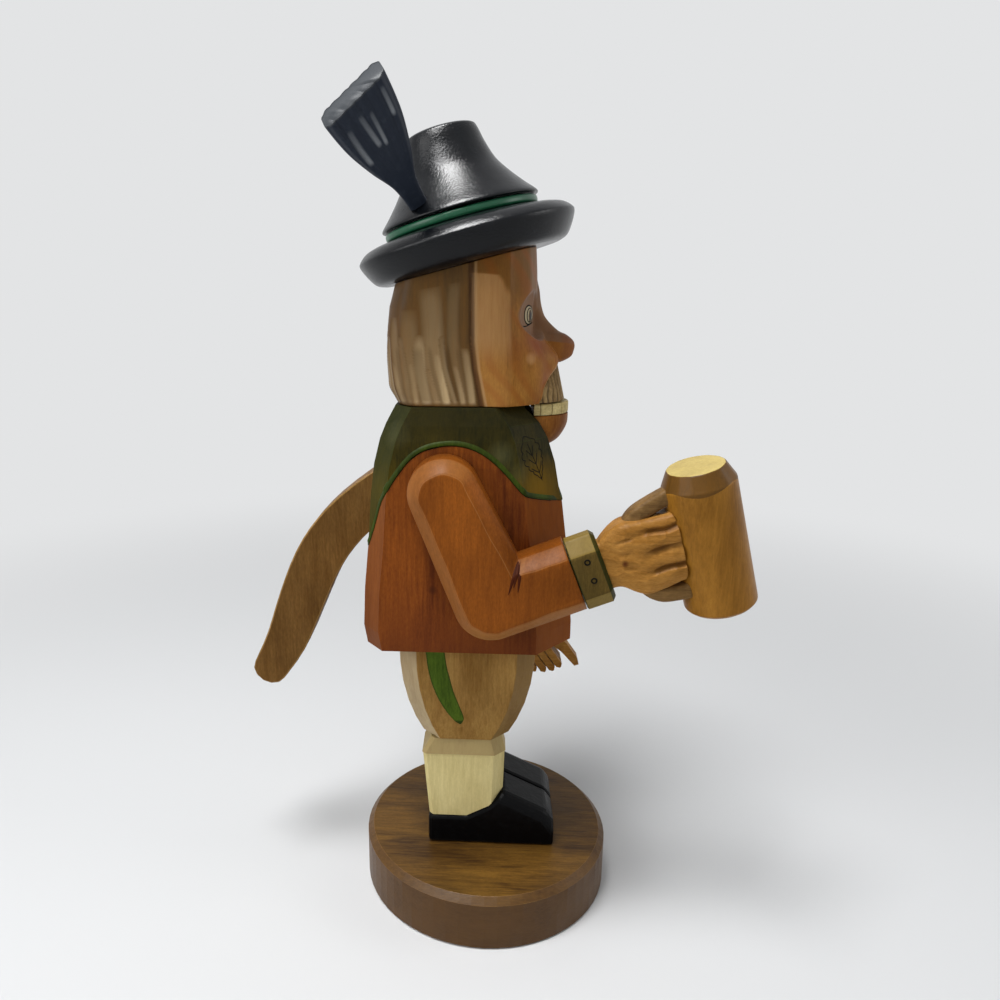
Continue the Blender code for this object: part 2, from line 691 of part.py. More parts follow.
def make_trousers(material):
    """Knee breeches: a block that swells upward, with cut corners and a leg notch."""
    corner = (TROUSERS_CHAMFER, TROUSERS_CHAMFER)
    rings = []
    for share, swell in TROUSERS_SWELL:
        rings.append(octagon(
            mix(TROUSERS_KNEE_BACK_X, TROUSERS_WAIST_BACK_X, swell),
            mix(TROUSERS_KNEE_FRONT_X, TROUSERS_WAIST_FRONT_X, swell),
            mix(TROUSERS_KNEE_HALF_WIDTH, TROUSERS_WAIST_HALF_WIDTH, swell),
            corner, corner, TROUSERS_BASE + TROUSERS_HEIGHT * share))
    part = add_part("trousers", loft("trousers", rings), material)
    back = TROUSERS_WAIST_BACK_X - CUT_MARGIN
    front = TROUSERS_WAIST_FRONT_X + CUT_MARGIN
    below = TROUSERS_BASE - CUT_MARGIN
    top = TROUSERS_BASE + LEG_NOTCH_HEIGHT
    notch = [(back, below), (back, top), (front, top), (front, below)]
    cut(part, add_cutter("leg_notch", prism(
        "leg_notch", notch, -LEG_NOTCH_WIDTH / 2, LEG_NOTCH_WIDTH / 2)))
    return part


def body_mesh(name):
    """The body block that the jacket and the cape are both cut from."""
    rings = []
    for share, back, front, side in BODY_CURVE:
        rings.append(octagon(
            mix(BODY_HEM_BACK_X, BODY_TOP_BACK_X, back),
            mix(BODY_HEM_FRONT_X, BODY_TOP_FRONT_X, front),
            mix(BODY_HALF_WIDTH, BODY_TOP_HALF_WIDTH, side),
            (BODY_BACK_CHAMFER_X, BODY_BACK_CHAMFER_Y),
            (BODY_FRONT_CHAMFER_X, BODY_FRONT_CHAMFER_Y),
            BODY_BASE + BODY_HEIGHT * share))
    return loft(name, rings)


def arch_line(lift):
    """The cape's lower edge seen from the side, from the back to the chest."""
    points = [(BODY_HEM_BACK_X - CUT_MARGIN / 4, CAPE_BACK_HEIGHT - CAPE_EDGE_DIP)]
    points += [(x, mix(CAPE_BACK_HEIGHT, CAPE_PEAK_HEIGHT, share)) for x, share in ARCH_BACK]
    points += [(x, mix(CAPE_CHEST_HEIGHT, CAPE_PEAK_HEIGHT, share)) for x, share in ARCH_FRONT]
    points.append((BODY_HEM_FRONT_X + CUT_MARGIN / 4, CAPE_CHEST_HEIGHT - CAPE_EDGE_DIP))
    return [(x, BODY_BASE + height + lift) for x, height in points]


def arch_cutter(name, lift, level):
    """Everything on one side of the cape's lower edge, up to a given level."""
    line = arch_line(lift)
    outline = line + [(line[-1][0], level), (line[0][0], level)]
    reach = BODY_HALF_WIDTH + CUT_MARGIN
    return add_cutter(name, prism(name, outline, -reach, reach))


def lever_edges():
    """Upper and lower edge and rounded end of the lever, from the pivot outward."""
    line = smooth_line(LEVER_SPINE, SPINE_STEPS)
    upper = []
    lower = []
    for i, (x, z, width) in enumerate(line):
        before = line[max(i - 1, 0)]
        after = line[min(i + 1, len(line) - 1)]
        along = Vector((after[0] - before[0], after[1] - before[1])).normalized()
        middle = Vector((PIVOT_X + x, PIVOT_Z + z))
        across = Vector((along.y, -along.x)) * width / 2
        upper.append(tuple(middle + across))
        lower.append(tuple(middle - across))
    end = []
    for degrees in (30, 60, 90, 120, 150):
        turn = radians(degrees)
        end.append(tuple(middle + across * cos(turn) + along * LEVER_END_ROUND * sin(turn)))
    return upper, lower, end


def lever_outline():
    """The lever seen from the side: jaw tongue, shaft through the body, curved handle."""
    upper, lower, end = lever_edges()
    tongue_x = JAW_BACK_X - SEAT_GAP
    tongue = [(tongue_x, CHIN_TOP - TONGUE_DROP), (TONGUE_NECK_X, CHIN_TOP - TONGUE_SLOPE_DROP)]
    return tongue + upper + end + list(reversed(lower)) + [(tongue_x, CHIN_BOTTOM + SEAT_GAP * 2)]


def chin_front(up):
    """How far the chin's front stands ahead of the jaw's back, at a share of its height."""
    for (low, shallow, _), (high, deep, _) in zip(CHIN_LEVELS, CHIN_LEVELS[1:]):
        if up <= high:
            return JAW_DEPTH * mix(shallow, deep, (up - low) / (high - low))
    return JAW_DEPTH


def jaw_outline():
    """The chin and teeth seen from the side, as the outline that must swing clear."""
    front = [(JAW_BACK_X + chin_front(up), CHIN_BOTTOM + CHIN_HEIGHT * up) for up, _, _ in CHIN_LEVELS]
    return [(JAW_BACK_X, CHIN_BOTTOM)] + front + [(JAW_FRONT_X, JAW_TOP), (JAW_BACK_X, JAW_TOP)]


def turn_about_pivot(x, z, angle):
    """Where a point of the jaw lever lies once the lever has turned by angle."""
    dx = x - PIVOT_X
    dz = z - PIVOT_Z
    return (PIVOT_X + dx * cos(angle) + dz * sin(angle),
            PIVOT_Z - dx * sin(angle) + dz * cos(angle))


def swept(outline):
    """Every place that the points of an outline reach while the jaw opens."""
    angles = [radians(JAW_OPENING_DEG) * i / SWEEP_STEPS for i in range(SWEEP_STEPS + 1)]
    return [turn_about_pivot(x, z, angle) for angle in angles for x, z in outline]


def make_slot_cutters():
    """The lever's slot and the chin's pocket, cut clear of all that swings in them."""
    jaw = swept(jaw_outline())
    pocket_floor = min(z for x, z in jaw) - SWEEP_CLEARANCE
    pocket_back = min(x for x, z in jaw) - SWEEP_CLEARANCE
    lever = swept(lever_outline())
    ahead = [z for x, z in lever if x > PIVOT_X]
    slot_floor = min(min(ahead) - SWEEP_CLEARANCE, pocket_floor + SWEEP_CLEARANCE)
    inside = [z for x, z in lever if BODY_TOP_BACK_X < x < JAW_BACK_X]
    roof = max(inside) + SWEEP_CLEARANCE
    past_back = BODY_HEM_BACK_X - CUT_MARGIN / 2
    edge = [(x, z - SWEEP_CLEARANCE) for x, z in lever_edges()[1] if past_back < x < PIVOT_X]
    edge = [(x, min(z, slot_floor)) for x, z in edge]
    front = pocket_back + SWEEP_CLEARANCE
    outline = [(front, roof), (front, slot_floor)] + edge + [(edge[-1][0], roof)]
    slot = add_cutter("lever_slot", prism("lever_slot", outline, -SLOT_HALF_WIDTH, SLOT_HALF_WIDTH))
    past_front = BODY_HEM_FRONT_X + CUT_MARGIN
    past_top = BODY_TOP + CUT_MARGIN
    outline = [(pocket_back, pocket_floor), (past_front, pocket_floor),
               (past_front, past_top), (pocket_back, past_top)]
    pocket = add_cutter("jaw_pocket", prism(
        "jaw_pocket", outline, -POCKET_HALF_WIDTH, POCKET_HALF_WIDTH))
    return slot, pocket


def make_jacket(material, *tools):
    """The lower part of the body block, arched under the cape."""
    part = add_part("jacket", body_mesh("jacket"), material)
    cut(part, arch_cutter("above_jacket", -SEAT_GAP, BODY_TOP + CUT_MARGIN), *tools)
    return part


def make_cape(material, *tools):
    """The upper part of the body block, a collar that arches over the shoulders."""
    part = add_part("shoulder_cape", body_mesh("shoulder_cape"), material)
    cut(part, arch_cutter("below_cape", 0.0, BODY_BASE - CUT_MARGIN), *tools)
    return part


def make_pivot_pin(material):
    """The steel pin that the lever turns on, and the cutter for its hole."""
    half = BODY_HALF_WIDTH - PIN_INSET
    ends = ((PIVOT_X, -half, PIVOT_Z), (PIVOT_X, half, PIVOT_Z))
    add_part("pivot_pin", rod_between("pivot_pin", *ends, PIN_RADIUS), material)
    reach = half + CUT_MARGIN
    ends = ((PIVOT_X, -reach, PIVOT_Z), (PIVOT_X, reach, PIVOT_Z))
    return add_cutter("pin_hole", rod_between("pin_hole", *ends, PIN_RADIUS + PIN_CLEARANCE))


def make_lever(material, pin_hole):
    """The jaw lever, in one board, with its edges chamfered along the handle."""
    mesh = prism("jaw_lever", lever_outline(), -LEVER_THICKNESS / 2, LEVER_THICKNESS / 2)
    side = LEVER_THICKNESS / 2 - FACE_TOLERANCE
    bevel_edges(mesh, LEVER_CHAMFER, lambda p: p.x < BODY_HEM_BACK_X and abs(p.y) > side)
    mesh.transform(Matrix.Translation((-PIVOT_X, 0, -PIVOT_Z)))
    part = add_part("jaw_lever", mesh, material)
    part.location = (PIVOT_X, 0, PIVOT_Z)
    cut(part, pin_hole)


def half_ellipse(back_x, depth, half_width, z):
    """Half an ellipse in plan, flat at the back: one level of the jaw or the lip."""
    ring = []
    for i in range(JAW_STEPS + 1):
        angle = radians(-90 + 180 * i / JAW_STEPS)
        ring.append((back_x + depth * cos(angle), half_width * sin(angle), z))
    return ring


def make_chin(material):
    """The chin block: full at the top and drawn in toward the throat."""
    rings = [half_ellipse(JAW_BACK_X, JAW_DEPTH * deep, JAW_HALF_WIDTH * wide,
                          CHIN_BOTTOM + CHIN_HEIGHT * up) for up, deep, wide in CHIN_LEVELS]
    add_part("chin", loft("chin", rings), material)


def make_teeth(material):
    """The lower teeth: a raised strip along the front edge of the chin."""
    base = CHIN_TOP + SEAT_GAP
    wide = JAW_HALF_WIDTH
    outer = half_ellipse(JAW_BACK_X, JAW_DEPTH, wide, base)
    inner = half_ellipse(JAW_BACK_X, JAW_DEPTH - TEETH_THICKNESS, wide - TEETH_THICKNESS, base)
    ring = outer + list(reversed(inner))
    shape = bmesh.new()
    face = shape.faces.new([shape.verts.new(point) for point in ring])
    raised = bmesh.ops.extrude_face_region(shape, geom=[face])["geom"]
    moved = [item for item in raised if isinstance(item, bmesh.types.BMVert)]
    bmesh.ops.translate(shape, verts=moved, vec=(0, 0, JAW_TOP - base))
    bmesh.ops.recalc_face_normals(shape, faces=shape.faces)
    add_part("lower_teeth", to_mesh(shape, "lower_teeth"), material)


def head_ring(height, back_inset, cheek_share, middle_x, side_x, front_half):
    """One level of the head: flat sides, cut back corners, cheeks and face front."""
    wide = HEAD_HALF_WIDTH
    back = HEAD_BACK_X + back_inset
    half = [
        (mix(FOREHEAD_X, CHEEK_X, cheek_share), front_half),
        (middle_x, wide * CHEEK_WIDTH_SHARE),
        (side_x, wide),
        (back + HEAD_BACK_CHAMFER_X, wide),
        (back, wide - HEAD_BACK_CHAMFER_Y),
    ]
    ring = half + [(x, -y) for x, y in reversed(half)]
    return [(x, y, HEAD_BASE + height) for x, y in ring]


def hat_plane(x):
    """Height of the head's slanted top, which the brim lies on, at a given x."""
    return HEAD_BASE + HEAD_HEIGHT_AT_AXIS + (x - HAT_AXIS_X) * tan(HAT_TILT)


def nose_mesh():
    """The nose: a bulb at the tip that runs up into a narrow ridge."""
    root_x = FOREHEAD_X - NOSE_ROOT_DEPTH
    rings = []
    for rise, behind, share in NOSE_LEVELS:
        half = NOSE_HALF_WIDTH * share
        z = HEAD_BASE + NOSE_TIP_HEIGHT + rise
        tip_x = NOSE_TIP_X - behind
        side = [(tip_x, 0.40), (tip_x - half * 0.25, 0.78), (tip_x - half * 0.75, 1.0), (root_x, 1.0)]
        ring = side + [(x, -y) for x, y in reversed(side)]
        rings.append([(x, half * y, z) for x, y in ring])
    return loft("nose", rings)


def make_head(material):
    """The head block with the nose, the lip seat and the mouth hollow."""
    part = add_part("head", loft("head", [head_ring(*level) for level in HEAD_LEVELS]), material)
    boolean(part, add_cutter("nose", nose_mesh()), "UNION")
    past_back = HEAD_BACK_X - CUT_MARGIN
    past_front = FOREHEAD_X + CUT_MARGIN
    past_top = HEAD_BASE + HEAD_BLANK_HEIGHT + CUT_MARGIN
    top = [(past_back, hat_plane(past_back)), (past_front, hat_plane(past_front)),
           (past_front, past_top), (past_back, past_top)]
    below = HEAD_BASE - CUT_MARGIN
    palate = HEAD_BASE + MOUTH_HEIGHT
    mouth_front = LIP_SEAT_X + MOUTH_OVERCUT
    mouth = [(MOUTH_BACK_X, below), (mouth_front, below), (mouth_front, palate), (MOUTH_BACK_X, palate)]
    lip_top = HEAD_BASE + LIP_HEIGHT + 2 * SEAT_GAP
    lip_front = LIP_SEAT_X + CUT_MARGIN
    lip = [(LIP_SEAT_X, below), (lip_front, below), (lip_front, lip_top + LIP_SEAT_SLOPE),
           (LIP_SEAT_X, lip_top)]
    side = HEAD_HALF_WIDTH + CUT_MARGIN
    lip_side = JAW_HALF_WIDTH + LEVER_CLEARANCE
    cut(part,
        add_cutter("hat_seat", prism("hat_seat", top, -side, side)),
        add_cutter("lip_seat", prism("lip_seat", lip, -lip_side, lip_side)),
        add_cutter("mouth", prism("mouth", mouth, -MOUTH_HALF_WIDTH, MOUTH_HALF_WIDTH)))
    return part


def make_moustache(material):
    """The carved upper lip: half round in plan, narrowing up to the nose."""
    base = JAW_TOP + 2 * SEAT_GAP
    top = HEAD_BASE + LIP_HEIGHT
    rings = [half_ellipse(LIP_SEAT_X + SEAT_GAP, LIP_DEPTH * deep, JAW_HALF_WIDTH * wide,
                          mix(base, top, up)) for up, deep, wide in LIP_LEVELS]
    add_part("moustache", loft("moustache", rings), material)


def hat_frame():
    """Hat frame: origin where the hat's axis meets the brim's underside."""
    lift = SEAT_GAP / cos(HAT_TILT)
    origin = Vector((HAT_AXIS_X, 0.0, hat_plane(HAT_AXIS_X) + lift))
    return Matrix.Translation(origin) @ Matrix.Rotation(-HAT_TILT, 4, "Y")


def crown_side():
    """The crown's side from base to shoulder, as (radius, height over its base)."""
    points = [(CROWN_RADIUS, 0.0)]
    for up, flare in CROWN_FLARE:
        points.append((mix(CROWN_TOP_RADIUS, CROWN_RADIUS, flare), CROWN_HEIGHT * up))
    return smooth_line(points, CROWN_STEPS)


def crown_radius(height):
    """Radius of the crown's side at a height over its base."""
    line = crown_side()
    for (wide, low), (narrow, high) in zip(line, line[1:]):
        if height <= high:
            return mix(wide, narrow, (height - low) / (high - low))
    return CROWN_TOP_RADIUS


def make_hat(black, green):
    """Brim, band and crown: three turned pieces on the tilted axis."""
    inner = BAND_RADIUS - BAND_THICKNESS
    spigot = inner - SEAT_GAP
    neck = CROWN_BASE - SEAT_GAP
    profile = [
        (0.0, neck),
        (spigot, neck),
        (spigot, BRIM_THICKNESS),
        (BAND_RADIUS, BRIM_THICKNESS),
        (mix(BAND_RADIUS, BRIM_RADIUS, 0.50), BRIM_THICKNESS - BRIM_TOP_FALL),
    ]
    profile += [(BRIM_RADIUS - inset, BRIM_THICKNESS * share) for inset, share in BRIM_EDGE]
    profile += [(BRIM_UNDERSIDE_RADIUS, 0.0), (0.0, 0.0)]
    brim = turned("hat_brim", profile, black)

    side = [(radius, CROWN_BASE + height) for radius, height in crown_side()]
    cap = [(CROWN_TOP_RADIUS * share, CROWN_BASE + CROWN_HEIGHT * up) for up, share in CROWN_ROUND]
    top = [(0.0, CROWN_BASE + CROWN_HEIGHT)]
    crown = turned("hat_crown", top + list(reversed(side + cap)) + [(0.0, CROWN_BASE)], black)

    band_top = BAND_BASE + BAND_HEIGHT - SEAT_GAP
    band = turned("hat_band", [
        (inner, band_top),
        (BAND_RADIUS - BAND_CROWN, band_top),
        (BAND_RADIUS, (band_top + BAND_BASE) / 2),
        (BAND_RADIUS - BAND_CROWN, BAND_BASE),
        (inner, BAND_BASE),
        (inner, band_top),
    ], green)
    for part in (brim, crown, band):
        part.matrix_world = hat_frame()
    return brim, crown


def make_brush(material, crown):
    """The flared tuft: peg in the crown, then a block that widens to a slanted top."""
    reach = crown_radius(BRUSH_ROOT_RISE)
    azimuth = radians(BRUSH_AZIMUTH_DEG)
    root = Vector((reach * cos(azimuth), reach * sin(azimuth), CROWN_BASE + BRUSH_ROOT_RISE))
    out = Matrix.Rotation(radians(BRUSH_OUT_LEAN_DEG), 4, "X")
    back = Matrix.Rotation(-radians(BRUSH_BACK_LEAN_DEG), 4, "Y")
    place = hat_frame() @ Matrix.Translation(root) @ back @ out
    rings = []
    for up, flare in BRUSH_FLARE:
        wide = mix(BRUSH_ROOT_WIDTH, BRUSH_TOP_WIDTH, flare) / 2
        deep = mix(BRUSH_ROOT_THICKNESS, BRUSH_TOP_THICKNESS, flare) / 2
        corner = min(wide, deep) * BRUSH_CORNER_SHARE
        ring = octagon(-wide, wide, deep, (corner, corner), (corner, corner), BRUSH_LENGTH * up)
        slant = BRUSH_TOP_SLANT * up * up
        rings.append([(x, y, z + slant * x / wide) for x, y, z in ring])
    mesh = loft("hat_brush", rings)
    mesh.transform(place)
    part = add_part("hat_brush", mesh, material)
    peg = rod_between("brush_peg", (0, 0, -BRUSH_PEG_DEPTH), (0, 0, BRUSH_PEG_RISE), BRUSH_PEG_RADIUS)
    peg.transform(place)
    boolean(part, add_cutter("brush_peg", peg), "UNION")
    bore = rod_between("brush_bore", (0, 0, -BRUSH_PEG_DEPTH - DOWEL_CLEARANCE),
                       (0, 0, BRUSH_PEG_RISE), BRUSH_PEG_RADIUS + DOWEL_CLEARANCE)
    bore.transform(place)
    cut(crown, add_cutter("brush_bore", bore))


def make_hat_dowel(material):
    """The dowel on the hat's axis, from the head up into the crown, and its hole."""
    frame = hat_frame()
    start = frame @ Vector((0, 0, -HAT_DOWEL_IN_HEAD))
    end = frame @ Vector((0, 0, CROWN_BASE + HAT_DOWEL_IN_CROWN))
    return dowel("hat_dowel", start, end, HAT_DOWEL_RADIUS, material)


def arc(centre, radius, start_deg, end_deg, steps):
    """Points on an arc in the XZ plane."""
    points = []
    for i in range(steps + 1):
        angle = radians(mix(start_deg, end_deg, i / steps))
        points.append((centre[0] + radius * cos(angle), centre[1] + radius * sin(angle)))
    return points


def ahead_of(point, length, degrees):
    """The point at a distance from another, in a direction in the XZ plane."""
    return (point[0] + length * cos(radians(degrees)), point[1] + length * sin(radians(degrees)))


def arm_points(upper_deg, fore_deg):
    """Shoulder, elbow and wrist of an arm whose two bones lie at the given angles."""
    shoulder = (SHOULDER_X, SHOULDER_Z)
    elbow = ahead_of(shoulder, UPPER_ARM_LENGTH, upper_deg)
    return shoulder, elbow, ahead_of(elbow, FOREARM_LENGTH, fore_deg)


def crossing(p, p_deg, q, q_deg):
    """Where the line through p at p_deg meets the line through q at q_deg."""
    px, pz = cos(radians(p_deg)), sin(radians(p_deg))
    qx, qz = cos(radians(q_deg)), sin(radians(q_deg))
    share = ((q[0] - p[0]) * qz - (q[1] - p[1]) * qx) / (px * qz - pz * qx)
    return (p[0] + px * share, p[1] + pz * share)


def make_sleeve(side, name, upper_deg, fore_deg, material):
    """A bent sleeve: round shoulder, round elbow, a sharp inner fold, wide chamfers."""
    shoulder, elbow, wrist = arm_points(upper_deg, fore_deg)
    wrist_top = ahead_of(wrist, WRIST_HALF_HEIGHT, fore_deg + 90)
    wrist_low = ahead_of(wrist, WRIST_HALF_HEIGHT, fore_deg - 90)
    inner_deg = upper_deg + 90
    inner_start = ahead_of(shoulder, SHOULDER_RADIUS, inner_deg)
    fold = crossing(inner_start, upper_deg + UPPER_ARM_FLARE_DEG, wrist_top, fore_deg)
    outline = arc(shoulder, SHOULDER_RADIUS, inner_deg, inner_deg + 180, 8)
    outline += arc(elbow, ELBOW_RADIUS, inner_deg + 180, fore_deg + 270, 6)
    outline += [wrist_low, wrist_top, fold]
    mesh = prism(name, outline, SLEEVE_INNER_Y, SLEEVE_OUTER_Y)
    along = Vector((cos(radians(fore_deg)), sin(radians(fore_deg))))

    def at_wrist(p):
        return (Vector((p.x, p.z)) - Vector(wrist)).dot(along) > -FACE_TOLERANCE

    shape = bmesh.new()
    shape.from_mesh(mesh)
    outer = [e for e in shape.edges if all(v.co.y > SLEEVE_OUTER_Y - FACE_TOLERANCE for v in e.verts)]
    edges = [e for e in outer if not all(at_wrist(v.co) for v in e.verts)]
    bmesh.ops.bevel(shape, geom=edges, offset=SLEEVE_CHAMFER, offset_type="OFFSET",
                    segments=1, profile=0.5, affect="EDGES", clamp_overlap=True)
    bmesh.ops.recalc_face_normals(shape, faces=shape.faces)
    shape.to_mesh(mesh)
    shape.free()
    if side == RIGHT:
        mirror_y(mesh)
    return add_part(name, mesh, material)


def wrist_frame(side, upper_deg, fore_deg):
    """Wrist frame: +X out of the sleeve, +Z across the forearm, origin at the sleeve's end."""
    wrist = arm_points(upper_deg, fore_deg)[2]
    origin = Vector((wrist[0], side * SLEEVE_CENTRE_Y, wrist[1]))
    return Matrix.Translation(origin) @ Matrix.Rotation(-radians(fore_deg), 4, "Y")


def make_cuff(name, frame, material):
    """A cuff: an eight-sided block slipped over the wrist dowel."""
    half = WRIST_HALF_HEIGHT + CUFF_PROUD
    deep = SLEEVE_THICKNESS / 2
    quarter = [(deep, half - CUFF_CHAMFER), (deep - CUFF_SIDE_CHAMFER, half)]
    top = quarter + [(-y, z) for y, z in reversed(quarter)]
    section = top + [(y, -z) for y, z in reversed(top)]
    rings = [[(x, y, z) for y, z in section] for x in (SEAT_GAP, SEAT_GAP + CUFF_LENGTH)]
    mesh = loft(name, rings)
    mesh.transform(frame)
    return add_part(name, mesh, material)


def mug_frame(frame):
    """Mug frame: +Z along the mug's axis, origin at the centre of its top."""
    place = Matrix.Translation((MUG_AXIS_REACH, 0.0, MUG_TOP_RISE))
    tilt = Matrix.Rotation(radians(MUG_TILT_DEG), 4, "Y")
    lean = Matrix.Rotation(radians(MUG_OUT_LEAN_DEG), 4, "X")
    return frame @ place @ tilt @ lean


def make_mug(frame, material):
    """The turned mug: chamfered rim, straight side, eased foot."""
    part = turned("mug", [
        (0.0, 0.0),
        (MUG_TOP_RADIUS, 0.0),
        (MUG_RADIUS, -MUG_RIM_CHAMFER),
        (MUG_RADIUS, -MUG_HEIGHT + MUG_FOOT_ROUND),
        (MUG_RADIUS - MUG_FOOT_ROUND, -MUG_HEIGHT),
        (0.0, -MUG_HEIGHT),
    ], material)
    part.matrix_world = mug_frame(frame)


def mug_clearance(frame):
    """A cutter one gap larger than the mug, for what stops at the mug's side."""
    mesh = rod_mesh("mug_clearance", MUG_RADIUS + SEAT_GAP, MUG_HEIGHT * 2, ROUND_STEPS)
    mesh.transform(mug_frame(frame) @ Matrix.Translation((0, 0, -MUG_HEIGHT / 2)))
    return add_cutter("mug_clearance", mesh)


def make_handle(frame, clearance, material):
    """The mug's handle: an upright grip and two arms that end at the mug's side."""
    back = GRIP_BACK
    front = MUG_AXIS_REACH
    inner = back + GRIP_WIDTH
    arm = HANDLE_ARM_HEIGHT
    top = HANDLE_TOP_REACH
    low = -HANDLE_BOTTOM_REACH
    spread = HANDLE_ARM_SPREAD
    ease = HANDLE_INNER_ROUND
    outline = [(front, top + spread)]
    outline += [(back + ahead, top - inset) for ahead, inset in HANDLE_TOP_CORNER]
    outline += [(back + ahead, low + inset) for ahead, inset in HANDLE_LOW_CORNER]
    outline += [
        (front, low - spread), (front, low - spread + arm), (inner + ease, low + arm),
        (inner, low + arm + ease), (inner, top - arm - ease), (inner + ease, top - arm),
        (front, top + spread - arm),
    ]
    mesh = prism("mug_handle", outline, -HANDLE_THICKNESS / 2, HANDLE_THICKNESS / 2)
    mesh.transform(frame)
    cut(add_part("mug_handle", mesh, material), clearance)


def make_fist(frame, clearance, material):
    """The right hand: a block at the wrist and a cheek on each side of the handle."""
    outline = [(HAND_START + x, z) for x, z in FIST_UPPER_EDGE]
    outline += [(MUG_AXIS_REACH - short, z) for short, z in (FIST_UPPER_END, FIST_LOWER_END)]
    outline += [(HAND_START + x, z) for x, z in FIST_LOWER_EDGE]
    mesh = prism("right_hand", outline, -FIST_THICKNESS / 2, FIST_THICKNESS / 2)
    side = FIST_THICKNESS / 2 - FACE_TOLERANCE
    bevel_edges(mesh, FIST_CHAMFER, lambda p: abs(p.y) > side and p.x > HAND_START + FACE_TOLERANCE)
    mesh.transform(frame)
    part = add_part("right_hand", mesh, material)
    back = GRIP_BACK - SEAT_GAP
    front = back + MUG_AXIS_REACH
    reach = HANDLE_TOP_REACH + HANDLE_BOTTOM_REACH
    channel = HANDLE_THICKNESS / 2 + SEAT_GAP
    groove = prism("grip_groove", [(back, -reach), (front, -reach), (front, reach), (back, reach)],
                   -channel, channel)
    groove.transform(frame)
    cut(part, add_cutter("grip_groove", groove), clearance)
    return part


def make_left_hand(frame, material):
    """The hanging left hand: palm, four parted fingers and a thumb held forward."""
    palm_end = HAND_START + PALM_LENGTH
    palm_low = INDEX_FINGER_TOP - 4 * FINGER_WIDTH - 3 * FINGER_GAP
    outline = [(HAND_START, PALM_TOP * PALM_WRIST_SHARE), (HAND_START + PALM_LENGTH / 2, PALM_TOP)]
    for index, step in enumerate(FINGERTIP_STEPS):
        top = INDEX_FINGER_TOP - index * (FINGER_WIDTH + FINGER_GAP)
        low = top - FINGER_WIDTH
        tip = palm_end + FINGER_LENGTH + step
        outline += [(palm_end, top), (tip - FINGER_ROUND, top), (tip, top - FINGER_ROUND),
                    (tip, low + FINGER_ROUND), (tip - FINGER_ROUND, low), (palm_end, low)]
    outline += [(HAND_START + PALM_LENGTH / 2, palm_low), (HAND_START, palm_low * PALM_WRIST_SHARE)]
    thick = LEFT_HAND_THICKNESS / 2
    mesh = prism("left_hand", outline, -thick, thick)
    mesh.transform(frame)
    part = add_part("left_hand", mesh, material)
    outline = [(HAND_START + x, PALM_TOP + z) for x, z in THUMB_OUTLINE]
    thick *= THUMB_THICKNESS_SHARE
    mesh = prism("thumb", outline, -thick, thick)
    mesh.transform(frame)
    boolean(part, add_cutter("thumb", mesh), "UNION")
    return part


def make_screw(side, name, material):
    """A countersunk wood screw up through plinth, shoe and stocking, and its bores."""
    y = side * LEG_Y
    top = TROUSERS_BASE + SCREW_IN_TROUSERS
    part = turned(name, [
        (0.0, top),
        (SCREW_POINT_RADIUS, top),
        (SCREW_RADIUS, top - SCREW_POINT_LENGTH),
        (SCREW_RADIUS, SCREW_RECESS + SCREW_HEAD_HEIGHT),
        (SCREW_HEAD_RADIUS, SCREW_RECESS),
        (0.0, SCREW_RECESS),
    ], material, DOWEL_SIDES)
    part.location = (LEG_X, y, 0)
    below = (LEG_X, y, -CUT_MARGIN)
    bore = rod_between(name + "_bore", below, (LEG_X, y, top + DOWEL_CLEARANCE),
                       SCREW_RADIUS + DOWEL_CLEARANCE)
    sink_top = SCREW_RECESS + SCREW_HEAD_HEIGHT + DOWEL_CLEARANCE
    sink = rod_between(name + "_sink", below, (LEG_X, y, sink_top),
                       SCREW_HEAD_RADIUS + DOWEL_CLEARANCE)
    return add_cutter(name + "_bore", bore), add_cutter(name + "_sink", sink)


def make_legs(beech, plinth, trousers, jacket):
    """Shoes and stockings, the screws that clamp them, and the dowels at the waist."""
    leather = wood("shoe_paint", (0.006, 0.006, 0.007), 0.22)
    lime = wood("lime_wood", (0.67, 0.56, 0.28))
    screw_steel = steel("screw_steel", (0.50, 0.50, 0.50))
    for side, label in ((RIGHT, "right"), (LEFT, "left")):
        shoe = make_shoe(side, label + "_shoe", leather)
        stocking = make_stocking(side, label + "_stocking", lime)
        bore, sink = make_screw(side, label + "_leg_screw", screw_steel)
        for part in (plinth, shoe, stocking, trousers):
            cut(part, bore)
        cut(plinth, sink)
        y = side * WAIST_DOWEL_SPREAD
        half = WAIST_DOWEL_LENGTH / 2
        hole = dowel(label + "_waist_dowel", (LEG_X, y, TROUSERS_TOP - half),
                     (LEG_X, y, TROUSERS_TOP + half), WAIST_DOWEL_RADIUS, beech)
        cut(trousers, hole)
        cut(jacket, hole)


def make_neck_dowels(beech, jacket, cape, head):
    """The two dowels that join the head to the body, one on each side of the slot."""
    for side, label in ((RIGHT, "right"), (LEFT, "left")):
        y = side * HEAD_DOWEL_SPREAD
        hole = dowel(label + "_head_dowel", (HEAD_DOWEL_X, y, BODY_TOP - HEAD_DOWEL_IN_BODY),
                     (HEAD_DOWEL_X, y, HEAD_BASE + HEAD_DOWEL_IN_HEAD), HEAD_DOWEL_RADIUS, beech)
        for part in (jacket, cape, head):
            cut(part, hole)


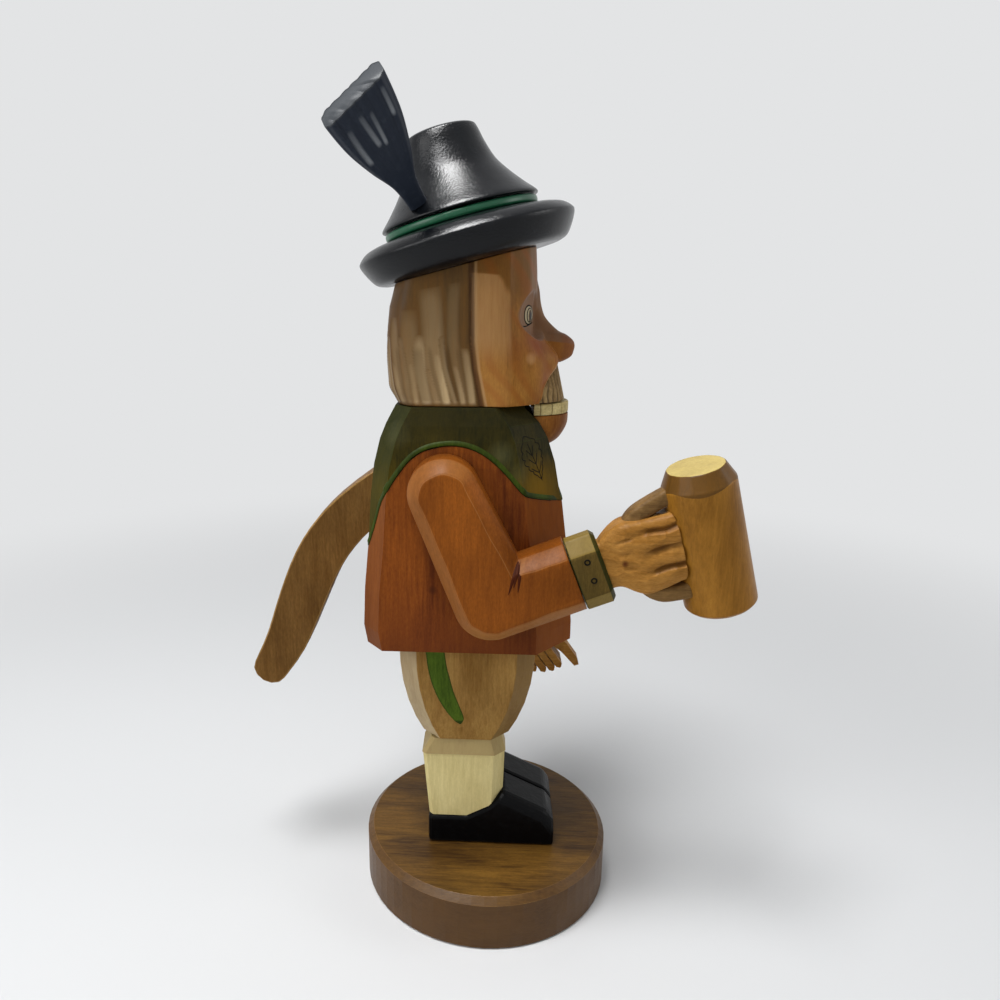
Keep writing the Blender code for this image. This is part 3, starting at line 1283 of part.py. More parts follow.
def make_arms(beech, jacket):
    """Sleeves, cuffs, hands and the mug, with the dowels that hold them."""
    sleeve_wood = wood("chestnut_stain", (0.37, 0.12, 0.025))
    cuff_wood = wood("cuff_stain", (0.155, 0.130, 0.033))
    hand_wood = wood("hand_stain", (0.52, 0.26, 0.075))
    arms = (
        (RIGHT, "right", RIGHT_UPPER_ARM_DEG, RIGHT_FOREARM_DEG),
        (LEFT, "left", LEFT_UPPER_ARM_DEG, LEFT_FOREARM_DEG),
    )
    for side, label, upper_deg, fore_deg in arms:
        frame = wrist_frame(side, upper_deg, fore_deg)
        sleeve = make_sleeve(side, label + "_sleeve", upper_deg, fore_deg, sleeve_wood)
        cuff = make_cuff(label + "_cuff", frame, cuff_wood)
        if side == RIGHT:
            clearance = mug_clearance(frame)
            hand = make_fist(frame, clearance, hand_wood)
            make_handle(frame, clearance, wood("handle_stain", (0.25, 0.17, 0.09)))
            make_mug(frame, wood("mug_stain", (0.40, 0.19, 0.040)))
        else:
            hand = make_left_hand(frame, hand_wood)
        x, z = ahead_of((SHOULDER_X, SHOULDER_Z), SHOULDER_DOWEL_DROP, upper_deg)
        half = SHOULDER_DOWEL_LENGTH / 2
        hole = dowel(label + "_shoulder_dowel", (x, side * (SLEEVE_INNER_Y - half), z),
                     (x, side * (SLEEVE_INNER_Y + half), z), SHOULDER_DOWEL_RADIUS, beech)
        cut(jacket, hole)
        cut(sleeve, hole)
        start = frame @ Vector((-WRIST_DOWEL_IN_SLEEVE, 0, 0))
        end = frame @ Vector((HAND_START + WRIST_DOWEL_IN_HAND, 0, 0))
        hole = dowel(label + "_wrist_dowel", start, end, WRIST_DOWEL_RADIUS, beech)
        for part in (sleeve, cuff, hand):
            cut(part, hole)


def build():
    """Make every piece and cut its holes."""
    beech = wood("beech_dowel", (0.60, 0.42, 0.24))
    plinth = make_plinth()
    trousers = make_trousers(wood("pale_stain", (0.46, 0.33, 0.14)))
    slot, pocket = make_slot_cutters()
    pin_hole = make_pivot_pin(steel("pin_steel", (0.50, 0.50, 0.52)))
    jacket = make_jacket(wood("mahogany_stain", (0.25, 0.070, 0.020)), slot, pocket, pin_hole)
    cape = make_cape(wood("olive_stain", (0.055, 0.070, 0.010)), slot, pocket, pin_hole)
    make_legs(beech, plinth, trousers, jacket)

    make_lever(wood("lever_wood", (0.22, 0.115, 0.035)), pin_hole)
    make_chin(wood("chin_stain", (0.40, 0.14, 0.030)))
    make_teeth(wood("cream_paint", (0.70, 0.62, 0.30)))
    head = make_head(wood("honey_stain", (0.43, 0.20, 0.055)))
    make_moustache(wood("grey_brown_stain", (0.20, 0.14, 0.08)))
    make_neck_dowels(beech, jacket, cape, head)
    make_arms(beech, jacket)

    brim, crown = make_hat(wood("black_paint", (0.012, 0.013, 0.015), 0.25),
                           wood("green_paint", (0.012, 0.145, 0.070), 0.30))
    make_brush(wood("brush_paint", (0.02, 0.02, 0.022), 0.60), crown)
    hole = make_hat_dowel(beech)
    for part in (head, brim, crown):
        cut(part, hole)


build()
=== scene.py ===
from math import cos, pi, radians, sin, tan

import bpy
import numpy as np
from mathutils import Matrix, Vector


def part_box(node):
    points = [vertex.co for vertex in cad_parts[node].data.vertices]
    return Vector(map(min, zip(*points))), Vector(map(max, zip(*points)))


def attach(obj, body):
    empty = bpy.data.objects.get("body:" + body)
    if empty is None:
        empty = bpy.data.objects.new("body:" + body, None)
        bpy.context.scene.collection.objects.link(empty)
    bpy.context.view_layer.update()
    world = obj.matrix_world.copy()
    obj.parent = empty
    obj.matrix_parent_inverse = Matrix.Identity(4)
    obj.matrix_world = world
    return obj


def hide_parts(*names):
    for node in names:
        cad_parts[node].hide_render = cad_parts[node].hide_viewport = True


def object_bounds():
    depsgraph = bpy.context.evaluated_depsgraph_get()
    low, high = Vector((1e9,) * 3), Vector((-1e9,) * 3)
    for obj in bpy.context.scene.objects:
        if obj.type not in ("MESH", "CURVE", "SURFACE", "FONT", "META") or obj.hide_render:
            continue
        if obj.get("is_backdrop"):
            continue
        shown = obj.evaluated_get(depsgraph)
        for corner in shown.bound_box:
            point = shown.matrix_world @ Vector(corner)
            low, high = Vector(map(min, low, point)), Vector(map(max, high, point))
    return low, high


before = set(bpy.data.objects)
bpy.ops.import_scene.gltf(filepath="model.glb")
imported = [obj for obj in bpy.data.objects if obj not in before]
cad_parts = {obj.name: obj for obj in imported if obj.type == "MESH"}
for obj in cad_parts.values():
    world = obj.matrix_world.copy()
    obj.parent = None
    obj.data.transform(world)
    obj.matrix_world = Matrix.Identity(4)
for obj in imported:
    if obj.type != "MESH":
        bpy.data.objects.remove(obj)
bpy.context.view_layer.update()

# The view, the light and the table
# The photograph looks down a little on the figure's right side from the height of its brow,
# in a pale light tent: a lamp overhead and one at each side, a strip that shows only in
# reflections, and white walls all round.
MM = 0.001
CAMERA_YAW = 3.5
CAMERA_PITCH = 14.4
CAMERA_PLACE = (-21.5, -338.0, 269.5)
CAMERA_LENS = 28.8
CAMERA_SHIFT = 0.059
LAMP_TARGET = (0, 0, 0.16)
BACKDROP = "#e3e4e5"


def linear(code):
    """sRGB hex as linear colour: c / 12.92 under 0.04045, else ((c + 0.055) / 1.055) ** 2.4."""
    c = np.array([int(code[i:i + 2], 16) for i in (1, 3, 5)]) / 255
    c = np.where(c < 0.04045, c / 12.92, ((c + 0.055) / 1.055) ** 2.4)
    return (*(float(value) for value in c), 1.0)


def plug(tree, node, sockets):
    """Gives each socket named its value, or a link where the value is another socket."""
    for key, value in sockets.items():
        if isinstance(value, bpy.types.NodeSocket):
            tree.links.new(value, node.inputs[key])
        else:
            node.inputs[key].default_value = value


def add(tree, kind, sockets=None, **settings):
    """Adds one node with its settings, and plugs in its sockets."""
    made = tree.nodes.new("ShaderNode" + kind)
    for key, value in settings.items():
        setattr(made, key, value)
    plug(tree, made, sockets or {})
    return made


def new_finish(name):
    """A material, its node tree, and the node for the place on a piece, in metres."""
    material = bpy.data.materials.new(name)
    material.use_nodes = True
    return material, material.node_tree, add(material.node_tree, "TexCoord")


def in_scene(name, data):
    """A new object that holds the data, linked to the scene."""
    made = bpy.data.objects.new(name, data)
    bpy.context.scene.collection.objects.link(made)
    return made


def aim(thing, way):
    """Turns a camera or a lamp to look along a direction."""
    thing.rotation_mode = "QUATERNION"
    thing.rotation_quaternion = way.to_track_quat("-Z", "Y")


turn = Matrix.Rotation(radians(CAMERA_YAW), 3, "Z")
pitch = radians(CAMERA_PITCH)
camera = in_scene("camera", bpy.data.cameras.new("camera"))
camera.location = turn @ Vector(CAMERA_PLACE) * MM
aim(camera, turn @ Vector((0, cos(pitch), -sin(pitch))))
camera.data.sensor_width = 36.0
camera.data.lens = CAMERA_LENS
camera.data.shift_x = CAMERA_SHIFT
camera.data.clip_start = 0.01
bpy.context.scene.camera = camera
bpy.context.scene.view_settings.view_transform = "Standard"

for name, place, size, power in (
        ("overhead_lamp", (-0.18, -0.21, 1.00), (0.30, 0.30), 7.8),
        ("gloss_strip", (-0.28, -0.36, 1.12), (0.36, 0.80), 20.0),
        ("left_lamp", (-0.80, -0.50, 0.50), (0.60, 0.60), 4.0),
        ("right_lamp", (0.85, -0.05, 0.50), (0.35, 0.35), 1.3)):
    lamp = in_scene(name, bpy.data.lights.new(name, "AREA"))
    lamp.data.shape = "RECTANGLE"
    lamp.data.size, lamp.data.size_y = size
    lamp.visible_diffuse = name != "gloss_strip"
    lamp.data.energy = power
    lamp.location = place
    aim(lamp, Vector(LAMP_TARGET) - Vector(place))

# The camera, reflections and refractions see the backdrop's own colour; all else gets
# the tent's fill.
world = bpy.data.worlds.new("light_tent")
world.use_nodes = True
bpy.context.scene.world = world
tree = world.node_tree
ray = add(tree, "LightPath")
seen = add(tree, "Math", {0: ray.outputs["Is Camera Ray"], 1: ray.outputs["Is Glossy Ray"]}, operation="ADD")
seen = add(tree, "Math", {0: seen.outputs[0], 1: ray.outputs["Is Transmission Ray"]},
           operation="ADD", use_clamp=True)
fill = add(tree, "Background", {"Color": linear("#f4f6f8"), "Strength": 0.34})
wall = add(tree, "Background", {"Color": linear(BACKDROP), "Strength": 1.0})
both = add(tree, "MixShader", {0: seen.outputs[0], 1: fill.outputs[0], 2: wall.outputs[0]})
tree.links.new(both.outputs[0], tree.nodes["World Output"].inputs["Surface"])

# The table is matt and pale under the figure, and fades into the backdrop's colour
# from 0.2 to 0.8 m from the figure's axis, so that no edge of it shows.
TABLE_FADE = (0.20, 0.80)
sheet = bpy.data.meshes.new("table_top")
sheet.from_pydata([(-6, -6, 0), (6, -6, 0), (6, 6, 0), (-6, 6, 0)], [], [(0, 1, 2, 3)])
table_top = in_scene("table_top", sheet)
paper, tree, place = new_finish("matt_white_paper")
away = add(tree, "VectorMath", {0: place.outputs["Object"]}, operation="LENGTH")
away = add(tree, "MapRange", {
    "Value": away.outputs["Value"], "From Min": TABLE_FADE[0], "From Max": TABLE_FADE[1]},
    interpolation_type="SMOOTHSTEP")
matt = tree.nodes["Principled BSDF"]
plug(tree, matt, {"Base Color": linear("#d8d9da"), "Roughness": 0.9, "Specular IOR Level": 0.1})
glow = add(tree, "Emission", {"Color": linear(BACKDROP), "Strength": 1.0})
both = add(tree, "MixShader", {0: away.outputs[0], 1: matt.outputs[0], 2: glow.outputs[0]})
tree.links.new(both.outputs[0], tree.nodes["Material Output"].inputs["Surface"])
table_top.data.materials.append(paper)
table_top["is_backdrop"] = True


# Round plinth
# A turned disc of open-grained walnut-stained hardwood, 113 mm across, with a wide
# chamfer above. The grain runs across it, and the chamfer and the side, which look
# sideways, are tinted a duller, darker brown than the top.
def layered(tree, color, layers, patchy=1.0):
    """Lays tints over a colour. Each layer is (what, low, high, tint, strength): what is a mark
    on the mesh, "height" in metres, an axis, for how squarely a face looks along it, or
    ("near", point), for the metres to a point. The tint grows from nothing at low to its
    strength at high, times `patchy`, a number or a noise."""
    place = add(tree, "TexCoord")
    for what, low, high, tint, strength in layers:
        if what == "height":
            value = add(tree, "SeparateXYZ", {0: place.outputs["Object"]}).outputs["Z"]
        elif isinstance(what, str):
            value = add(tree, "Attribute", attribute_name=what).outputs["Fac"]
        elif what[0] == "near":
            value = add(tree, "VectorMath", {0: place.outputs["Object"], 1: what[1]},
                        operation="DISTANCE").outputs["Value"]
        else:
            value = add(tree, "VectorMath", {0: place.outputs["Normal"], 1: what},
                        operation="DOT_PRODUCT").outputs["Value"]
        much = add(tree, "MapRange", {
            "Value": value, "From Min": low, "From Max": high, "To Max": strength})
        much = add(tree, "Math", {0: much.outputs[0], 1: patchy}, operation="MULTIPLY", use_clamp=True)
        color = add(tree, "Mix", {
            0: much.outputs[0], 6: color, 7: linear(tint)}, data_type="RGBA").outputs[2]
    return color


def stained_wood(name, dark, light, along="Z", figure=14.0, fibre=0.9, rough=0.42, shine=0.06,
                 carve=0.12, chips=0.0, pores=0.03, mottle=0.12, turned=(0, 0, 0), layers=()):
    """Stained wood under a thin satin finish.

    Colour runs from dark to light by 0.65 of a broad noise, `figure` mm across, and 0.35 of
    fine fibres, `fibre` mm across; both are drawn out along the grain. Short pores, 0.5 mm
    across, and blotches, 2.4 `figure` across, where the stain took unevenly, scale it by up
    to 1 - `mottle` or 1 + `mottle` each. Real fibres and pores are finer: these are drawn as
    coarse as they need to show. The bump is `carve` mm of soft tool marks, `pores` mm of
    fibres and `chips` mm of gouge cuts: the square of the distance to scattered points,
    5 mm apart.
    """
    material, tree, place = new_finish(name)
    noises = []
    for size, stretch, detail in ((figure, 0.22, 3.0), (fibre, 0.07, 2.0), (0.5, 0.3, 1.0),
                                  (2.4 * figure, 0.7, 2.0)):
        grain = add(tree, "Mapping", {
            "Vector": place.outputs["Object"], "Rotation": turned,
            "Scale": [stretch if axis == along else 1.0 for axis in "XYZ"]})
        noises.append(add(tree, "TexNoise", {
            "Vector": grain.outputs[0], "Scale": 1000 / size, "Detail": detail,
            "Roughness": 0.6, "Distortion": 0.4}).outputs[0])
    broad, fine, short, blotches = noises
    both = add(tree, "Mix", {0: 0.35, 2: broad, 3: fine})
    share = add(tree, "MapRange", {"Value": both.outputs[0], "From Min": 0.36, "From Max": 0.64})
    color = add(tree, "Mix", {
        0: share.outputs[0], 6: linear(dark), 7: linear(light)}, data_type="RGBA").outputs[2]
    for noise in (short, blotches):
        tone = add(tree, "MapRange", {
            "Value": noise, "From Min": 0.32, "From Max": 0.68, "To Min": 1 - mottle, "To Max": 1 + mottle})
        color = add(tree, "VectorMath", {0: color, "Scale": tone.outputs[0]}, operation="SCALE").outputs[0]
    patchy = add(tree, "MapRange", {
        "Value": both.outputs[0], "From Min": 0.36, "From Max": 0.60, "To Min": 0.72, "To Max": 1.05})
    color = layered(tree, color, layers, patchy.outputs[0])
    gloss = add(tree, "MapRange", {"Value": fine, "To Min": rough + 0.10, "To Max": rough - 0.06})
    tool = add(tree, "TexNoise", {
        "Vector": place.outputs["Object"], "Scale": 170.0, "Detail": 1.0})
    dents = add(tree, "Bump", {"Height": tool.outputs[0], "Distance": carve * MM, "Strength": 1.0})
    if chips:
        facets = add(tree, "TexVoronoi", {"Vector": place.outputs["Object"], "Scale": 200.0})
        facets = add(tree, "Math", {0: facets.outputs["Distance"], 1: 2.0}, operation="POWER")
        dents = add(tree, "Bump", {"Height": facets.outputs[0], "Distance": 2 * chips * MM,
                                   "Strength": 1.0, "Normal": dents.outputs[0]})
    grooves = add(tree, "Bump", {
        "Height": fine, "Distance": pores * MM, "Strength": 1.0, "Normal": dents.outputs[0]})
    plug(tree, tree.nodes["Principled BSDF"], {
        "Base Color": color, "Roughness": gloss.outputs[0], "Normal": grooves.outputs[0],
        "Specular IOR Level": shine})
    return material


def eased(corners, reach, steps=4, closed=True):
    """An outline with rounded corners: at each one a quadratic curve from `reach` before it
    to `reach` past it, or to 0.45 of the side where that is shorter."""
    corners = np.asarray(corners, float)
    inner = corners if closed else corners[1:-1]
    before = np.roll(corners, 1, -2) if closed else corners[:-2]
    after = np.roll(corners, -1, -2) if closed else corners[2:]

    def part_way(other):
        side = other - inner
        length = np.linalg.norm(side, axis=-1, keepdims=True)
        return (inner + side * np.minimum(reach / np.maximum(length, 1e-9), 0.45))[..., None, :]

    t = np.linspace(0, 1, steps + 1)[:, None]
    middle = inner[..., None, :]
    curve = (1 - t) ** 2 * part_way(before) + 2 * t * (1 - t) * middle + t * t * part_way(after)
    curve = curve.reshape(*inner.shape[:-2], -1, inner.shape[-1])
    return curve if closed else np.concatenate([corners[:1], curve, corners[-1:]])


def placed(points, place):
    """Points in mm, moved by a matrix whose place is in mm."""
    place = np.array(place)
    return points @ place[:3, :3].T + place[:3, 3]


def skin(name, rings, marks=None):
    """A closed surface over rings[v, u] in mm, with one flat face over each end.

    The faces point outward: they are reversed where the volume, the sum of p0 . (p1 x p2)
    over the triangles, is negative. Marks are values on the same grid, kept as attributes.
    """
    rings = np.asarray(rings, float)
    rows, cols = rings.shape[:2]
    v, u = np.meshgrid(np.arange(rows - 1), np.arange(cols), indexing="ij")
    a = (v * cols + u).ravel()
    b = (v * cols + (u + 1) % cols).ravel()
    u = np.arange(cols)
    w = (u + 1) % cols
    last = (rows - 1) * cols
    faces = np.concatenate([np.stack([a, b, b + cols], -1), np.stack([a, b + cols, a + cols], -1)])
    fans = np.concatenate([
        np.stack([w, u, np.full(cols, rows * cols)], -1),
        np.stack([last + u, last + w, np.full(cols, rows * cols + 1)], -1)])
    points = np.concatenate([rings.reshape(-1, 3), rings[:1].mean(1), rings[-1:].mean(1)]) * MM
    corner = points[np.concatenate([faces, fans])] - points.mean(0)
    volume = (corner[:, 0] * np.cross(corner[:, 1], corner[:, 2])).sum()
    turn = 1 if volume > 0 else -1
    quads = np.stack([a, b, b + cols, a + cols], -1)[:, ::turn]
    ends = [u[::-turn].tolist(), (last + u)[::turn].tolist()]
    mesh = bpy.data.meshes.new(name)
    mesh.from_pydata(points[:-2].tolist(), [], quads.tolist() + ends)
    mesh.shade_smooth()
    for mark, values in (marks or {}).items():
        values = np.broadcast_to(values, (rows, cols)).astype(np.float32)
        mesh.attributes.new(mark, "FLOAT", "POINT").data.foreach_set("value", values.ravel())
    return in_scene(name, mesh)


def circle(count):
    """`count` angles in even steps round a full turn, starting at 0."""
    return np.linspace(0, 2 * pi, count, endpoint=False)


def turned_rings(profile, place=Matrix.Identity(4), sides=144):
    """Rings of a turned piece: (r cos a, r sin a, height) for each (r, height) of a profile."""
    a = circle(sides)
    r, z = profile[:, :1], profile[:, 1:]
    return placed(np.stack([r * np.cos(a), r * np.sin(a), z + 0 * a], -1), place)


def finish_node(name, finish, edge=None, ease=0.5, limit=14):
    """Gives a CAD node its finish. Its flats are merged and its edges are rounded by modifiers,
    `ease` mm wide, where they turn by more than `limit` degrees; the edges take their own finish."""
    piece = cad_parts[name]
    piece.material_slots[0].material = finish
    if edge:
        piece.data.materials.append(edge)
    weld = piece.modifiers.new("weld", "WELD")
    weld.merge_threshold = 0.00001
    flats = piece.modifiers.new("flats", "DECIMATE")
    flats.decimate_type = "DISSOLVE"
    flats.angle_limit = radians(0.6)
    bevel = piece.modifiers.new("eased_edges", "BEVEL")
    bevel.width = ease * MM
    bevel.segments = 2
    bevel.limit_method = "ANGLE"
    bevel.angle_limit = radians(limit)
    bevel.material = 1 if edge else -1
    return piece


walnut = stained_wood("walnut_stained_beech", "#3a250c", "#71501e", "X", 12.0, 0.8, rough=0.38,
                      shine=0.16, pores=0.06, layers=(((0, 0, 1), 0.90, 0.60, "#513820", 0.80),))
# The eased edges take a paler, glossier walnut: sanded wear, and a painted highlight along each edge.
walnut_edge = stained_wood("walnut_stain_worn_and_edge_highlight", "#5a3c1a", "#8f6832", "X", 9.0, 0.9, shine=0.3)
finish_node("plinth", walnut, walnut_edge, 0.7, 30)


# Shoes
# Two carved blocks in gloss black paint, screwed up through the plinth. The paint nearly
# fills the grain, so mostly soft tool marks show, and the eased edges catch the light.
def paint(name, code, rough, shine, dents, worn="#2a2d30", wear=0.0, grit=0.04, layers=()):
    """Paint on wood: one colour, with a little wear where a 3 mm noise peaks. The bump is
    `dents` mm of brush and tool marks and `grit` mm of the wood's pores, 0.7 mm across,
    drawn just coarse enough to break up a highlight."""
    material, tree, place = new_finish(name)
    patches = add(tree, "TexNoise", {
        "Vector": place.outputs["Object"], "Scale": 330.0, "Detail": 5.0, "Roughness": 0.65})
    much = add(tree, "MapRange", {
        "Value": patches.outputs[0], "From Min": 0.50, "From Max": 0.72, "To Max": wear})
    color = add(tree, "Mix", {
        0: much.outputs[0], 6: linear(code), 7: linear(worn)}, data_type="RGBA").outputs[2]
    color = layered(tree, color, layers)
    gloss = add(tree, "MapRange", {
        "Value": patches.outputs[0], "To Min": rough - 0.08, "To Max": rough + 0.10})
    tool = add(tree, "TexNoise", {
        "Vector": place.outputs["Object"], "Scale": 260.0, "Detail": 2.0})
    pores = add(tree, "TexNoise", {
        "Vector": place.outputs["Object"], "Scale": 1400.0, "Detail": 2.0})
    bump = add(tree, "Bump", {"Height": tool.outputs[0], "Distance": dents * MM, "Strength": 1.0})
    bump = add(tree, "Bump", {
        "Height": pores.outputs[0], "Distance": grit * MM, "Strength": 1.0, "Normal": bump.outputs[0]})
    plug(tree, tree.nodes["Principled BSDF"], {
        "Base Color": color, "Roughness": gloss.outputs[0], "Normal": bump.outputs[0],
        "Specular IOR Level": shine})
    return material


# The figure's sides, with the sign of y on each
SIDES = {"right": -1, "left": 1}
shoe_black = paint("gloss_black_paint", "#030304", 0.34, 0.09, 0.16, "#0a0c0d", 0.5)
for side in SIDES:
    shoe = finish_node(side + "_shoe", shoe_black, None, 1.4, 12)
    shoe.modifiers["eased_edges"].use_clamp_overlap = False


# Stockings
# Tapered blocks of pale lime wood, cream stained below, with a turned-over rim cut at
# the top and left in bare, browner wood.
cream = stained_wood("cream_stained_lime", "#bfae76", "#d6c78e", "Z", 9.0, 0.9, rough=0.46, mottle=0.04,
                     layers=(("height", 0.0698, 0.0703, "#9c855a", 0.9),))
bare = stained_wood("bare_lime_edge", "#a08c60", "#bda878", "Z", 6.0, 0.9, rough=0.5, mottle=0.06)
for side in SIDES:
    finish_node(side + "_stocking", cream, bare, 0.6, 12)


# Breeches
# One block of pale stained lime with cut corners, swelling to the waist. Each side has
# a green stripe inside a thin dark border, from the hem of the jacket down. Faces that
# look back are painted paler, as painted light, and those that look forward darker, as
# painted shade.
pale = stained_wood("pale_stained_lime", "#775425", "#9b7740", "Z", 12.0, 0.9, mottle=0.08, layers=(
    # Painted light on faces looking back, painted shade on faces looking forward.
    ((-1, 0, 0), 0.20, 0.55, "#b3a484", 0.70), ((1, 0, 0), 0.20, 0.55, "#77603c", 0.60)))
finish_node("trousers", pale, pale, 0.6, 10)

# The stripe's back edge and front edge: x, z
STRIPE_BACK = ((-27.0, 125.0), (-26.6, 121.6), (-25.8, 115.0), (-24.1, 107.3), (-21.1, 99.3),
               (-17.7, 93.1), (-14.4, 88.6), (-12.2, 86.9))
STRIPE_FRONT = ((-18.3, 125.0), (-18.0, 121.8), (-17.2, 116.2), (-15.9, 110.5), (-14.2, 103.6),
                (-11.8, 96.5), (-10.0, 90.3), (-11.2, 86.9))

# Half width of the breeches' side: z, y
TROUSERS_SIDE = ((77.8, 20.5), (85.4, 22.64), (94.4, 24.53), (104.4, 25.92), (113.9, 26.61), (125.3, 26.8))


def through(points, steps=8):
    """A smooth line through the points, a uniform Catmull-Rom curve with `steps` to a stretch."""
    p = np.asarray(points, float)
    p = np.concatenate([p[:1], p, p[-1:]])
    a, b, c, d = p[:-3], p[1:-2], p[2:-1], p[3:]
    t = (np.arange(steps) / steps)[:, None, None]
    line = b + ((c - a) * t + (2 * a - 5 * b + 4 * c - d) * t ** 2 + (3 * b - a - 3 * c + d) * t ** 3) / 2
    return np.concatenate([line.transpose(1, 0, 2).reshape(-1, p.shape[1]), p[-1:]])


def read_off(line, at):
    """The second value of a line of pairs where the first one is `at`, straight between them."""
    return np.interp(at, *np.asarray(line, float).T)


def settle(piece, finish, body, slot, *nodes):
    """Gives a new piece its finish and its body, and hides the CAD nodes that it stands for.
    `slot` is not used.
    """
    piece.data.materials.append(finish)
    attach(piece, body)
    if nodes:
        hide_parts(*nodes)
    return piece


def stripe(name, side):
    """A stripe of paint on the breeches' side: across from back edge to front edge, along
    from the waist down, lifted 0.1 mm in the middle and sunk at its rim, like a low lens."""
    back, front = through(STRIPE_BACK, 6), through(STRIPE_FRONT, 6)
    across = np.linspace(0, 1, 13)[None, :, None]
    flat = back[:, None] * (1 - across) + front[:, None] * across
    x, z = flat[..., 0], flat[..., 1]
    depth = read_off(TROUSERS_SIDE, z)
    from_edge = np.minimum(across[..., 0], 1 - across[..., 0]) + 0 * x
    rim = np.clip(from_edge / 0.10, 0, 1)
    top = np.stack([x, side * (depth + 0.14 * rim - 0.04), z], -1)
    under = np.stack([x, side * (depth - 0.5) + 0 * x, z], -1)
    border = 1 - np.clip(from_edge / 0.16, 0, 1)
    border = np.maximum(border, np.clip((89.5 - z) / 1.5, 0, 1))
    rings = np.concatenate([top, under[:, ::-1]], 1)
    return skin(name, rings, {"border": np.concatenate([border, border[:, ::-1]], 1)})


green_stripe = stained_wood("green_stripe_stain", "#33460e", "#4c621a", "Z", 5.0, 0.8, rough=0.5,
                            layers=(("border", 0.2, 0.8, "#26300c", 0.9),))
for side, sign in SIDES.items():
    settle(stripe(side + "_stripe", sign), green_stripe, "figure", "pale_stain")


# Jacket
# The lower part of the body block in mahogany stain, blotchy where the stain took
# unevenly. The sides darken from orange brown to a dull red brown toward the hem, with
# a small knot toward the back. Faces that look back and faces that look forward take
# paler tints, as painted light on those sides.
mahogany = stained_wood("mahogany_stained_lime", "#54260b", "#874816", "Z", 21.0, 1.2, rough=0.42,
                        carve=0.22, turned=(0, radians(14), 0), layers=(
                            ("height", 0.158, 0.126, "#4a1f12", 0.5),
                            # Paler tints on the faces looking back and forward: painted light.
                            ((-1, 0, 0), 0.20, 0.55, "#6c4020", 0.5),
                            ((1, 0, 0), 0.20, 0.55, "#84460a", 0.7),
                            (("near", (-0.023, -0.0334, 0.153)), 0.0022, 0.0006, "#3c1a0a", 0.8)))
# The eased edges take a paler mahogany: sanded wear, and a painted highlight along each edge.
mahogany_edge = stained_wood("mahogany_stain_worn_and_edge_highlight", "#683618", "#8a5430", "Z", 9.0, 0.9)
finish_node("jacket", mahogany, mahogany_edge, 0.6, 9)


# Shoulder cape
# The upper part of the body block, olive stained, arched over each shoulder. Its lower
# rim is sanded back to a brighter green, and an oak leaf is burnt in on each lapel.
# Painted light and shade in the stain: it darkens toward the top, as shade under the head and hat; faces
# that look back take a greener, lighter tint, as painted light; and the pale grey-green smears beside the
# leaf and at the back, on the right side only, are painted sheen. The lower part and the chest are tinted
# amber.
olive = stained_wood("olive_stained_lime", "#1e1d05", "#463b0c", "Z", 16.0, 1.0, rough=0.48,
                     carve=0.26, layers=(
                         ("height", 0.200, 0.222, "#181806", 0.65), ((-1, 0, 0), 0.2, 0.5, "#2a3010", 0.5),
                         ("height", 0.206, 0.194, "#50430a", 0.5),
                         (("near", (0.022, -0.027, 0.193)), 0.0170, 0.004, "#7a5a0c", 0.8),
                         (("near", (0.004, -0.033, 0.209)), 0.0065, 0.001, "#5c5c3c", 0.40),
                         (("near", (0.010, -0.031, 0.201)), 0.0060, 0.001, "#5c5c3c", 0.35),
                         (("near", (-0.037, -0.028, 0.216)), 0.0070, 0.001, "#55553a", 0.30)))
olive_edge = stained_wood("olive_stain_sanded", "#232d09", "#37450f", "Z", 9.0, 0.9)
finish_node("shoulder_cape", olive, olive_edge, 0.9, 9)

# The body's outline at several heights: z, back x, front x, half width
BODY_LEVELS = ((150.9, -52.04, 33.82, 33.4), (169.1, -50.25, 31.97, 33.4), (189.4, -48.84, 29.2, 33.4),
               (203.5, -47.18, 26.98, 32.9), (213.6, -44.74, 24.76, 31.65), (219.7, -42.3, 22.35, 30.4),
               (226.8, -38.6, 16.8, 28.4))

# The body's corners are cut off: mm along X, mm along Y
FRONT_CUT = (15.6, 17.5)
BACK_CUT = (7.2, 9.0)

# The leaf's foot: its height, and its share of the lapel's width from the front edge.
# The leaf leans by radians from the upright.
LEAF_FOOT_Z = 197.9
LEAF_FOOT_ACROSS = 0.475
LEAF_LEAN = 0.336
LAPEL_WIDTH = 23.4
LEAF_LENGTH = 18.5
LEAF_HALF_WIDTH = 6.4
LEAF_LOBES = 6.5

# The cape's lower edge along the side, from the back over the arm to the chest: x, z
CAPE_EDGE = ((-50.0, 169.6), (-48.0, 175.2), (-46.0, 181.6), (-43.6, 189.4), (-40.0, 196.0), (-36.0, 202.0),
             (-31.0, 207.8), (-25.0, 211.2), (-18.0, 212.6), (-12.0, 212.5), (-6.0, 210.8), (0.0, 207.2),
             (6.0, 201.6), (11.0, 195.8), (14.2, 192.8), (18.0, 191.1), (24.0, 189.0))
CAPE_BACK_Z = 168.9
CHEST_Z = 187.5


def lapel(across, up, side):
    """A point on the body's front corner facet: `up` mm high, and a share of the way from
    its front edge to its side edge."""
    z, _, front, half = np.array(BODY_LEVELS).T
    front, half = np.interp(up, z, front), np.interp(up, z, half)
    return np.stack([front - FRONT_CUT[0] * across, side * (half - FRONT_CUT[1] * (1 - across)), up], -1)


